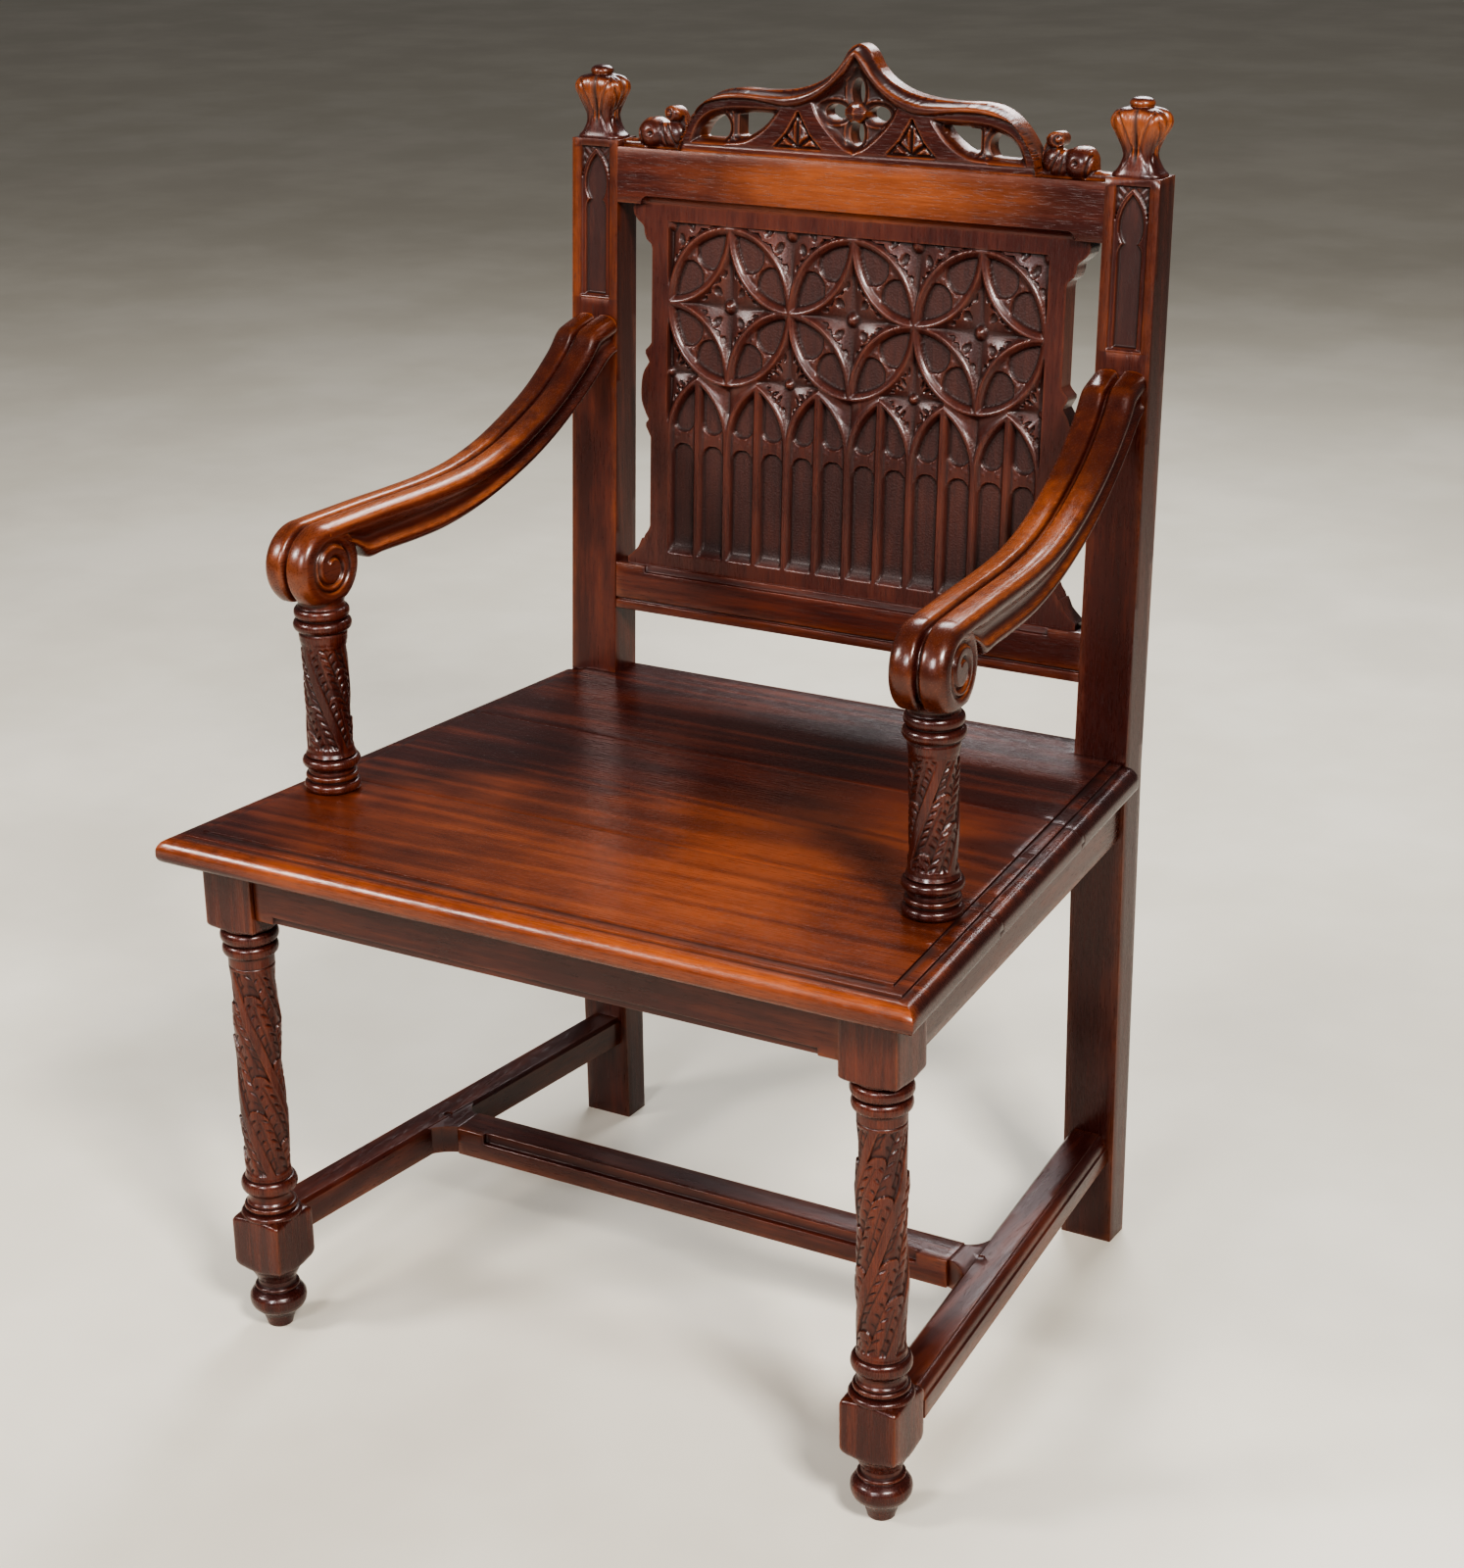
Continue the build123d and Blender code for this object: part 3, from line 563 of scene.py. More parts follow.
@dataclass
class CarvedBoard:
    """A board with an outline of any shape and a carved front.

    edge gives the distance inside the outline and relief the height of the front at each place.
    place puts points given across, up and out into the chair. columns and rows, where given, are
    the grid's places and stand in for low, high and step.
    """

    name: str
    low: Point
    high: Point
    step: Point
    edge: Callable[[Array, Array], Array]
    relief: Callable[[Array, Array], Array]
    back: float
    place: Callable[[Array, Array, Array], Array]
    columns: Array | None = None
    rows: Array | None = None

    def snapped(self) -> tuple[Array, Array]:
        """Lay the grid and draw the points near the outline on to it.

        Returns:
            Each grid point's place across and up.
        """
        xs, zs = self.columns, self.rows
        if xs is None:
            xs = np.arange(self.low[0], self.high[0] + 0.01, self.step[0])
        if zs is None:
            zs = np.arange(self.low[1], self.high[1] + 0.01, self.step[1])
        x, z = np.meshgrid(xs, zs, indexing="ij")
        reach = SNAP_SHARE * max(self.step)
        delta = SLOPE_STEP
        for _ in range(2):
            s = self.edge(x, z)
            gx = (self.edge(x + delta, z) - s) / delta
            gz = (self.edge(x, z + delta) - s) / delta
            size = np.maximum(gx**2 + gz**2, 0.2)
            near = np.abs(s) < reach
            x = np.where(near, x - s * gx / size, x)
            z = np.where(near, z - s * gz / size, z)
        return x, z

    def build(self) -> tuple[bpy.types.Object, Array]:
        """Make the board as one closed shell.

        Returns:
            The object, and each vertex's depth under the face.
        """
        x, z = self.snapped()
        kept = self.edge(x, z) > -KEPT_MARGIN
        height = self.relief(x, z)
        index = np.full(x.shape, -1)
        index[kept] = np.arange(kept.sum())
        a, b, c, d = index[:-1, :-1], index[1:, :-1], index[1:, 1:], index[:-1, 1:]
        corners = np.stack([a, b, c, d], axis=-1).reshape(-1, 4)
        valid = (corners >= 0).sum(1)
        quads = corners[valid == 4]
        threes = corners[valid == 3]
        threes = threes[threes >= 0].reshape(-1, 3)
        pairs = np.vstack(
            [quads[:, [k, (k + 1) % 4]] for k in range(4)] + [threes[:, [k, (k + 1) % 3]] for k in range(3)]
        )
        key = np.sort(pairs, axis=1)
        _, first, times = np.unique(key, axis=0, return_index=True, return_counts=True)
        rim = pairs[first[times == 1]]
        rim_points = np.unique(rim)
        behind = {int(v): k + kept.sum() for k, v in enumerate(rim_points)}
        flat_x, flat_z, flat_h = x[kept], z[kept], height[kept]
        top = self.place(flat_x, flat_z, flat_h)
        bottom = self.place(flat_x[rim_points], flat_z[rim_points], np.full(len(rim_points), self.back))
        walls = [(v, u, behind[int(u)], behind[int(v)]) for u, v in rim]
        faces = quads.tolist() + threes.tolist() + walls
        onward = {int(u): int(v) for u, v in rim}
        loop = [int(rim[0][0])]
        while onward[loop[-1]] != loop[0]:
            loop.append(onward[loop[-1]])
        pierced = len(loop) < len(rim)
        if not pierced:
            faces.append([behind[v] for v in loop])
        piece = make_piece(self.name, np.vstack([top, bottom]), faces)
        bm = bmesh.new()
        bm.from_mesh(piece.data)
        if pierced:
            open_edges = [e for e in bm.edges if len(e.link_faces) == 1]
            bmesh.ops.triangle_fill(bm, use_beauty=True, use_dissolve=False, edges=open_edges)
        bmesh.ops.recalc_face_normals(bm, faces=bm.faces)
        bm.to_mesh(piece.data)
        bm.free()
        depths = np.concatenate([-flat_h, np.zeros(len(rim_points))])
        return piece, depths


# ---------------------------------------------------------------- the leaning back
POST_FRONT, SEAT_Z, POST_X = 222.4, 450.0, 249.6
LEAN = math.atan((283.0 - 30.0 - POST_FRONT) / (922.0 - SEAT_Z))


def on_back(x: Array, z: Array, out: Array) -> Array:
    """Place points on the leaning back.

    Args:
        x: places across.
        z: heights before the back leans.
        out: distances out from the posts' front face.

    Returns:
        The points, with the coordinates last.
    """
    up = (z - SEAT_Z) / math.cos(LEAN)
    y = POST_FRONT + up * math.sin(LEAN) - out * math.cos(LEAN)
    return np.stack([x, y, SEAT_Z + up * math.cos(LEAN) + out * math.sin(LEAN)], axis=-1)


@dataclass
class TraceryPanel:
    """The carved back panel: a row of three rounds over twelve pointed lights."""

    radius: float = 59.4
    stretch: float = 66.6 / 59.4
    middle: float = 787.6
    half: float = 179.0
    low: float = 566.0
    high: float = 856.5
    floor: float = -6.2
    ledge: float = -3.4
    face: float = -7.0
    spring: float = 670.0
    contact: float = 727.0
    arch_middle: float = 32.44
    arch_radius: float = 62.14
    lower_head: float = 655.0
    upper_foot: float = 685.0

    def leaf(self, crease: Array, edge: Array, turn: Array, lobes: int = 7) -> Array:
        """Height of a leaf that rises from a crease to a scalloped edge.

        Args:
            crease: distance from the crease.
            edge: distance from the rib beside the leaf.
            turn: angle along that rib.
            lobes: lobes of the leaf in a quarter turn.

        Returns:
            The height under the face.
        """
        share = np.clip(crease / (crease + np.maximum(edge, 0) + 0.01), 0, 1)
        body = self.floor + 0.2 + 6.2 * share
        period = math.pi / 2 / lobes
        lobe = (np.mod(turn, period) / period - 0.5) * 2
        gouge = 1 - ((share - 0.58) / 0.2) ** 2 - (lobe / 0.46) ** 2
        body -= 2.6 * np.sqrt(np.clip(gouge, 0, 1))
        scallop = 2.4 + 2.6 * np.abs(lobe) ** 1.5
        return self.floor - 0.6 + (body - self.floor) * smooth_step(edge, scallop - 0.4, scallop + 0.3)

    def rib(self, distance: Array, low: Array | float, flat: float = 0.7, slope: float = 4.6) -> Array:
        """A rib with a narrow flat top and straight sloping sides."""
        return low * np.clip((distance - flat) / slope, 0, 1)

    def relief(self, x: Array, z: Array) -> Array:
        """Height of the whole front.

        Args:
            x: places across.
            z: places up.

        Returns:
            The height at each place, out from the posts' front face.
        """
        r0 = self.radius
        s = (z - self.middle) / self.stretch
        u = x - np.clip(np.round(x / (2 * r0)), -1, 1) * 2 * r0
        a, b = np.abs(u), np.abs(s)
        ring = r0 - np.hypot(a, b)
        arc = r0 - np.hypot(r0 - a, r0 - b)
        # petals: two round cells in each pointed eye
        t = np.abs(b - a) / math.sqrt(2)
        across = (a + b - r0) / math.sqrt(2)
        eye = np.minimum(ring, arc)
        cell = np.where(t < 14.4, np.minimum(13.6 - np.hypot(t - 14.4, across), eye - 4.2), eye - 4.2)
        petal = self.rib(eye, self.ledge) + (self.floor - self.ledge) * smooth_step(cell, -0.4, 1.3)
        petal += 0.9 * bump_at(np.hypot(t, np.abs(across) - 8.8), 1.5)
        # four-pointed star inside the ring, with a button in its middle
        turn = np.arctan2(r0 - b, r0 - a)
        star = self.leaf(np.minimum(a, b), -arc, turn)
        star = np.maximum(star, self.rib(-arc, self.floor))
        star = np.maximum(star, -0.6 - 0.154 * (a**2 + b**2))
        # spandrels above the rounds
        p, q = np.abs(r0 - a), np.abs(r0 - b)
        turn_out = np.arctan2(b, a)
        above = np.maximum(self.leaf(p, -ring, turn_out), self.rib(-ring, self.floor))
        above = np.maximum(above, -0.6 - 0.13 * (p**2 + q**2))
        # pointed lights below
        m = np.abs((x - np.floor(x / r0) * r0) - r0 / 2)
        bend = np.hypot(m + self.arch_middle, z - self.spring) - self.arch_radius
        arch = np.where(z > self.spring, bend, m - r0 / 2)
        light = np.minimum(-arch, m)
        side = np.abs(m - r0 / 4)
        over, under = z - self.lower_head, z - self.upper_foot
        lower = np.where(over > 0, 10.4 - np.hypot(side, over), 10.4 - side)
        upper = np.where(under < 0, 9.8 - np.hypot(side * 0.95, under), light - 4.2)
        upper = np.minimum(upper, light - 4.0)
        cell = np.maximum(lower, upper)
        light = np.where(z < 660, np.maximum(light, 0), light)
        lights = self.rib(light, self.ledge, 1.7, 2.8)
        lights = lights + (self.floor - self.ledge) * smooth_step(cell, -0.4, 1.2)
        lights += 0.7 * bump_at(np.hypot(side - 7.0, z - 671.5), 1.6)
        sill = (z - self.low) * 0.78
        lights = np.maximum(lights, -sill)
        # starlets at the contact points, plain facets under the rounds
        level = z - self.contact
        outer = np.minimum(-ring, arch)
        starlet = self.leaf(np.minimum(p, np.abs(level)), outer, np.abs(np.arctan2(level, p)), 4)
        starlet = np.maximum(starlet, -1.2 - 0.2 * (p**2 + level**2))
        plain = self.floor + 5.6 * (a / (a + np.maximum(outer, 0) + 0.01)) ** 0.9
        below = np.where(a > r0 / 2, starlet, plain)
        below = np.maximum(below, np.maximum(self.rib(-ring, self.floor), self.rib(arch, self.floor)))
        height = np.where(ring > 0, np.where(arc > 0, petal, star), np.where(s > 0, above, below))
        lowest = (ring <= 0) & (s < 0) & (arch < 0)
        height = np.where(lowest, lights, height)
        edge = np.minimum(self.half - np.abs(x), np.minimum(self.high - z, z - self.low))
        border = -7.5 * smooth_step(edge, 0.0, 1.6)
        height = np.where(edge > 0, np.maximum(height, border), 0.0)
        return self.face + height

    def outline(self) -> Array:
        """Draw the panel's edge with its ears, feet and side lobes.

        Returns:
            The outline's corners, one a row.
        """
        right = np.vstack(
            [
                [(0, 552), (220, 552), (219, 557)],
                flowing([(215, 560), (207, 568), (204, 575), (198, 582)], 4),
                [(195, 587), (195, 668), (200, 677), (200, 680), (197, 683)],
                flowing([(200, 688), (204.5, 699), (205, 712), (203, 724), (197, 734)], 4),
                [(201, 741), (201, 744), (197, 748), (195, 751), (195, 832)],
                flowing([(196, 836), (201, 840), (203, 846), (204, 851), (210, 856)], 4),
                flowing([(213.5, 860), (214.5, 866), (212, 870.5)], 4),
                [(0, 870.6)],
            ]
        )
        return mirrored(right)

    def spaced(self, *runs: Point) -> Array:
        """Space places along a line.

        Args:
            runs: a start and a spacing for each stretch, and the end with any spacing.

        Returns:
            The places, even within each stretch.
        """
        lines = []
        for (start, space), (stop, _) in zip(runs, runs[1:]):
            count = max(1, round((stop - start) / space))
            lines.append(np.linspace(start, stop, count, endpoint=False))
        return np.append(np.concatenate(lines), runs[-1][0])

    def build(self, wood: bpy.types.Material) -> None:
        """Carve and dress the panel.

        Args:
            wood: its material.
        """
        outline = self.outline()
        board = CarvedBoard(
            "back_panel_carved",
            (-217.8, 551.5),
            (217.8, 872.0),
            (1.24, 1.24),
            lambda x, z: depth_inside(x, z, outline),
            self.relief,
            -25.0,
            on_back,
            self.spaced((-217.8, 1.24), (-180.0, 1.04), (180.0, 1.24), (217.8, 0.0)),
            self.spaced((551.5, 1.1), (568.0, 4.0), (652.0, 1.04), (872.0, 0.0)),
        )
        piece, depths = board.build()
        # painted shade, stronger where the carving is sunk deeper
        sunk = np.clip((depths + self.face - 2.5) / 4.0, 0, 1) * 0.6
        mark_wear_and_shade(piece, 0.42, 4, sunk)
        finish_piece(piece, wood, ["back_panel"], 34)


@dataclass
class Crest:
    """The pierced crest and the leaf scrolls at its ends."""

    base: float = 917.0
    centre: float = 957.0
    top_half: tuple = (
        (0, 1012.5), (5.5, 1010.5), (11, 1005.5), (18, 994.5), (29, 984.5), (45, 977), (65, 972.5), (90, 971),
        (110, 971.5), (125, 969.5), (138, 963.5), (150, 953), (160, 939), (166, 926), (168, 917),
    )
    roll_half: tuple = (
        (0, 1001), (3, 998), (9, 989), (19, 979.5), (29, 971.5), (40, 965), (52, 960.5), (66, 959),
        (82, 961), (100, 963), (121, 962), (140, 958), (153, 950), (161, 938), (165, 921), (165.5, 917),
    )

    def top(self, x: Array) -> Array:
        """Height of the top edge."""
        line = flowing(self.top_half, 6)
        return np.interp(np.abs(x), line[:, 0], line[:, 1])

    def roll(self, x: Array) -> Array:
        """Height of the lower edge of the front roll."""
        line = flowing(self.roll_half, 6)
        return np.interp(np.abs(x), line[:, 0], line[:, 1])

    def lozenge(self) -> Array:
        """Draw the middle opening.

        Returns:
            The outline's corners, one a row.
        """
        right = np.vstack(
            [
                flowing([(0, 923), (12, 929), (26, 941), (36, 953), (41, 964)], 5),
                flowing([(41, 965), (30, 971.5), (20, 979), (10, 989), (4, 998), (0, 1003)], 5),
            ]
        )
        return mirrored(right)

    def mouchette(self) -> Array:
        """Draw the right side opening.

        Returns:
            The outline's corners, one a row.
        """
        low = flowing(
            [(68, 957.5), (74, 949), (84, 938), (98, 929), (112, 925), (135, 923.8), (157, 923.5)], 5
        )
        high = flowing(
            [(157.5, 925), (155, 933), (150, 942), (141, 950), (127, 955), (110, 957), (90, 957.5)], 5
        )
        return np.vstack([low, high])

    def holes(self, x: Array, z: Array) -> Array:
        """Distance into the pierced holes.

        Args:
            x: places across.
            z: places up.

        Returns:
            The distance at each place, positive inside a hole.
        """
        ax = np.abs(x)
        dz = z - self.centre
        petals = []
        for across, up, reach, width in ((0, 17, 12.5, 6.0), (0, -16.5, 11.0, 6.4), (20, 0, 11.0, 6.6)):
            if across:
                r = np.hypot((ax - across) / reach, dz / width)
                spear = (ax - across) / reach
            else:
                r = np.hypot(x / width, (dz - up) / reach)
                spear = np.sign(up) * (dz - up) / reach
            petals.append((1 - r - 0.10 * np.clip(spear, 0, 1) ** 2) * min(reach, width))
        eye = self.side_depth(ax, z)
        tip = np.minimum(112.5 - ax, 12.5 - np.hypot(ax - 103, z - 942))
        inner = np.where(ax < 103, eye - 5.0, np.minimum(eye - 6.0, tip))
        outer = np.minimum(eye - 5.5, 15.5 - np.hypot((ax - 137.0) * 0.95, (z - 938.5) * 1.15))
        return np.maximum.reduce([*petals, inner, outer])

    def side_depth(self, ax: Array, z: Array) -> Array:
        """Distance inside the side opening's outline."""
        return depth_inside(ax, z, self.mouchette())

    def relief(self, x: Array, z: Array) -> Array:
        """Height of the crest's front.

        Args:
            x: places across.
            z: places up.

        Returns:
            The height at each place, out from the posts' front face.
        """
        ax = np.abs(x)
        top, roll = self.top(x), self.roll(x)
        share = np.clip((top - z) / np.maximum(top - roll, 3.0), 0, 1.4)
        band = np.full(x.shape, -3.4)
        hollow = -11.0 + 7.2 * np.clip(share / 0.42, 0, 1) ** 1.5
        bead = -3.6 + 3.6 * np.sqrt(np.clip(1 - ((share - 0.68) / 0.33) ** 2, 0, 1))
        moulding = np.where(share < 0.36, hollow, np.maximum(-4.2, bead))
        moulding = moulding - 0.9 * bump_at(share - 0.38, 0.06)
        # sunk openings in the flat band
        loz = depth_inside(x, z, self.lozenge())
        side = self.side_depth(ax, z)
        hole = self.holes(x, z)
        sunk = np.maximum(loz, side)
        field_h = band - 6.0 * smooth_step(sunk, 0.0, 6.5) - 1.6 * smooth_step(hole, -3.2, 0.2)
        field_h = field_h + 1.6 * bump_at(hole + 4.4, 1.4) * (sunk > 4)
        tri = mirrored(np.array([(0, 957.0), (4, 950), (12, 937), (24.5, 925), (0, 925.0)]))
        tx = ax - 53.0
        leaf_d = depth_inside(tx, z, tri)
        vein = np.minimum(np.abs(tx), np.abs(np.abs(tx) * 0.55 - (z - 926.5) * 0.75) * 0.9)
        leaf_h = -4.6 - 2.6 * bump_at(vein, 1.0) - 2.4 * (1 - smooth_step(leaf_d, 1.6, 3.4))
        leaf_h = leaf_h + 1.1 * bump_at(vein - 2.6, 1.3)
        field_h = np.where(leaf_d > 0, band + (leaf_h - band) * smooth_step(leaf_d, 0, 1.6), field_h)
        boss = (ax + np.abs(z - self.centre)) / 12.5
        field_h = np.maximum(field_h, np.where(boss < 1, -0.8 - 5.5 * boss, -30))
        groove = bump_at(z - 923.6, 0.8) * (ax < 164)
        field_h = field_h - 0.7 * groove * (sunk < 0) * (leaf_d < 0)
        return np.where(share < 1.03, moulding, field_h)

    def edge(self, x: Array, z: Array) -> Array:
        """Distance inside the pierced board.

        Args:
            x: places across.
            z: places up.

        Returns:
            The distance at each place.
        """
        line = flowing(self.top_half, 3)
        outline = mirrored(np.vstack([[(0, self.base), (168, self.base)], line[::-1]]))
        return np.minimum(depth_inside(x, z, outline), -self.holes(x, z))

    def scroll_edge(self, x: Array, z: Array) -> Array:
        """Distance inside the right leaf scroll's outline.

        Args:
            x: places across.
            z: places up.

        Returns:
            The distance at each place.
        """
        line = flowing(
            [
                (165, 917), (165, 934), (168, 944), (173, 951), (180, 953), (185, 949), (184, 943),
                (179, 940.5), (184, 938), (190, 940), (197, 942.5), (206, 941), (211, 935), (212, 928),
                (213, 924), (219, 923.5), (227, 922.5), (229, 920), (229, 917), (195, 917),
            ],
            4,
        )
        return depth_inside(x, z, line)

    def scroll_relief(self, x: Array, z: Array) -> Array:
        """Height of the right leaf scroll: curl, folded leaf, ball with an eye, tail.

        Args:
            x: places across.
            z: places up.

        Returns:
            The height at each place, out from the posts' front face.
        """
        curl = 8.0 * np.sqrt(np.clip(1 - (np.hypot(x - 178, (z - 947) * 1.15) / 9.5) ** 2, 0, 1))
        curl = curl - 1.6 * bump_at(np.hypot(x - 181, z - 946.5) - 3.2, 1.0) * (curl > 2)
        ball = 10.5 * np.sqrt(np.clip(1 - ((x - 199) / 14.0) ** 2 - ((z - 929) / 13.0) ** 2, 0, 1))
        leaf = 8.0 * np.sqrt(np.clip(1 - (np.hypot((x - 181) / 15, (z - 929) / 13)) ** 2, 0, 1))
        leaf = leaf - 1.6 * bump_at(x - 176 - (z - 925) * 0.5, 1.1) * (leaf > 1)
        leaf = leaf - 1.3 * bump_at(x - 184 - (z - 925) * 0.35, 1.0) * (leaf > 1)
        tail = 4.5 * np.sqrt(np.clip(1 - ((z - 919.5) / 4.5) ** 2, 0, 1))
        height = np.maximum.reduce([curl, ball, leaf, tail])
        eye = np.hypot(x - 197.5, z - 929.5)
        height = height - 3.0 * bump_at(eye, 2.0) - 1.5 * bump_at(x - 208 - (z - 930) * 0.3, 1.2) * (ball > 3)
        return -14.5 + height

    def build(self, wood: bpy.types.Material) -> None:
        """Carve and dress the crest and both scrolls.

        Args:
            wood: their material.
        """
        step = (1.05, 1.05)
        board = CarvedBoard(
            "crest_carved", (-168.0, 916.9), (168.0, 1013.5), step, self.edge, self.relief, -26.0, on_back
        )
        piece, depths = board.build()
        # painted shade in the sunk field below the roll, stronger where it is carved deeper
        sunk = np.clip((depths - 5.0) / 7.0, 0, 1) * 0.75
        co = np.array([v.co for v in piece.data.vertices]) / MM
        mark_wear_and_shade(piece, 0.45, 4, np.where(co[:, 2] > self.roll(co[:, 0]), 0, sunk))
        finish_piece(piece, wood, ["crest"], 50)
        for side, label in ((1, "right"), (-1, "left")):
            board = CarvedBoard(
                f"crest_scroll_carved_{label}", (163.0, 916.0), (231.0, 956.0), (1.0, 1.0),
                self.scroll_edge, self.scroll_relief, -23.0,
                lambda x, z, out, side=side: on_back(side * x, z, out),
            )
            piece, _ = board.build()
            mark_wear_and_shade(piece, 0.5, 4)
            finish_piece(piece, wood, [f"crest_scroll_{label}"], 60)


# ---------------------------------------------------------------- posts and finials
@dataclass
class BackPosts:
    """The two rear posts with sunk lancet panels, and the leafy buds on them."""

    panel_half: float = 15.0
    panel_head: float = 917.0
    spring: float = 884.0
    bud_middle: float = 268.0
    bud_count: int = 120

    def lancet(self, x: Array, z: Array) -> Array:
        """Height of the sunk panel's carving.

        Args:
            x: places across from the post's middle.
            z: places up.

        Returns:
            The height at each place, out from the post's front face.
        """
        ax = np.abs(x)
        above = z - self.spring
        bend = np.where(above > 0, 37.6 - np.hypot(ax + 25.1, above), 12.5 - ax)
        foil = np.where(above > 0, 99.0, 10.2 - np.hypot(ax, above * 0.62))
        upper = np.minimum(bend - 2.2, foil)
        lower = np.where(z > 863.0, 9.8 - np.hypot(ax, z - 863.0), 9.8 - ax)
        lower = np.minimum(lower, z - 789.5)
        cell = np.maximum(upper, lower)
        height = -1.4 - 3.4 * smooth_step(cell, -0.8, 1.0)
        spandrel = (bend < -1.5) & (above > 0)
        leaf = -3.9 + 0.9 * np.abs(np.sin((ax - z) * 0.42)) * smooth_step(-bend, 1.5, 4.0)
        height = np.where(spandrel, leaf, height)
        frame_in = np.minimum(self.panel_half - ax, np.minimum(self.panel_head - z, z - 787.0))
        return np.maximum(height, -4.4 * smooth_step(frame_in, 0.0, 2.4))

    def build_post(self, side: int, label: str, wood: bpy.types.Material) -> None:
        """Make one post with its carved panel let in.

        Args:
            side: 1 for the right, -1 for the left.
            label: the side's name.
            wood: the material.
        """
        post = from_node(f"rear_post_{label}", f"rear_post_carved_{label}", 1.3, 8.0)
        board = CarvedBoard(
            "lancet", (-15.05, 785.2), (15.05, self.panel_head), (0.7, 0.75),
            lambda x, z: np.minimum(self.panel_half - np.abs(x), np.minimum(916.2 - z, z - 785.4)),
            self.lancet, -5.6,
            lambda x, z, out: on_back(side * POST_X + x, z, out),
        )
        panel, depths = board.build()
        mark_wear_and_shade(post, 0.45, 2)
        # painted shade in the lancet's sunk cells, stronger where they are deeper
        mark_wear_and_shade(panel, 0.35, 3, np.clip((depths - 2.0) / 3.0, 0, 1) * 0.6)
        finish_piece(join([post, panel]), wood, [f"rear_post_{label}"], 40)

    def build_bud(self, side: int, label: str, wood: bpy.types.Material) -> None:
        """Make one leafy bud on a post's top.

        Args:
            side: 1 for the right, -1 for the left.
            label: the side's name.
            wood: the material.
        """
        levels = flowing(
            [
                (922, 22, 14.2), (924, 21.5, 14), (928, 17.5, 13), (935, 14, 12), (941, 13.5, 12),
                (948, 15.5, 12.6), (955, 19, 13.6), (960, 21.4, 14.5), (964, 22.2, 14.8),
                (968, 21.6, 14.4), (971.5, 19.4, 13.2), (974, 15.6, 11.2), (975.3, 11.5, 9.0),
                (976.0, 9.4, 8.4), (978.0, 10.2, 9.2), (980.5, 9.2, 8.4), (982.4, 6.3, 6.0),
                (983.2, 2.0, 2.0),
            ],
            5,
        )
        turn = np.linspace(0, 2 * math.pi, self.bud_count, endpoint=False)
        z, hx, hy = levels[:, :1], levels[:, 1:2], levels[:, 2:3]
        power = np.where(z < 975.6, 2.0 / 3.2, 1.0)
        c, s = np.cos(turn)[None, :], np.sin(turn)[None, :]
        px = np.sign(c) * np.abs(c) ** power
        py = np.sign(s) * np.abs(s) ** power
        bulge = smooth_step(z, 926, 940) * (1 - smooth_step(z, 973, 976))
        front = np.abs(py) * hy >= np.abs(px) * hx * 0.62
        a = np.where(front, px * hx, py * hy)
        size = np.where(front, hx, hy)
        share = np.abs(a) / np.maximum(size, 1)
        rise = np.clip((z - 924) / 50.0, 0, 1)
        spread = np.clip((z - 936) / 36.0, 0, 1)
        slit = bump_at(a, 0.8 + 1.0 * rise) * smooth_step(z, 928, 945)
        inner = bump_at(np.abs(a) - (1.4 + 6.0 * spread**1.6), 1.1) * smooth_step(z, 938, 950)
        outer = bump_at(np.abs(a) - (3.6 + 11.5 * spread**1.8), 1.2) * smooth_step(z, 932, 946)
        lower = bump_at(np.abs(a) - (12.0 - 9.0 * np.clip((z - 926) / 20.0, 0, 1)), 1.2)
        lower = lower * (1 - smooth_step(z, 944, 950))
        corner = bump_at(share - 0.96, 0.07)
        fold = 1.2 * (1 - np.cos(np.clip(share, 0, 1) * 2 * math.pi)) * 0.5 * smooth_step(z, 940, 956)
        cut = (3.2 * slit + 0.5 * inner + 1.5 * outer + 1.3 * lower + 0.9 * corner - fold) * bulge
        shrink = 1 - cut / np.maximum(size, 3)
        px, py = px * hx * shrink, py * hy * shrink
        points = np.stack([side * POST_X + px, self.bud_middle + py, z + 0 * c], axis=-1)
        piece = grid_shell(f"post_finial_carved_{label}", points)
        mark_wear_and_shade(piece, 0.55, 4)
        finish_piece(piece, wood, [f"post_finial_{label}"], 70)

    def build(self, wood: bpy.types.Material, carved: bpy.types.Material) -> None:
        """Make both posts and both buds.

        Args:
            wood: the posts' material.
            carved: the buds' material.
        """
        for side, label in ((1, "right"), (-1, "left")):
            self.build_post(side, label, wood)
            self.build_bud(side, label, carved)


def grid_shell(name: str, rings: Array) -> bpy.types.Object:
    """Join closed rings of points into one shell, with its two ends filled.

    Args:
        name: the piece's name.
        rings: points as rings, places round a ring and coordinates.

    Returns:
        The new object.
    """
    rows, count, _ = rings.shape
    points = rings.reshape(-1, 3)
    k = np.arange(rows - 1)[:, None] * count
    i = np.arange(count)[None, :]
    j = (i + 1) % count
    faces = np.stack([k + i, k + j, k + j + count, k + i + count], axis=-1).reshape(-1, 4).tolist()
    faces.append(list(range(count))[::-1])
    faces.append(list(range((rows - 1) * count, rows * count)))
    return close_up(make_piece(name, points, faces), 0.01)


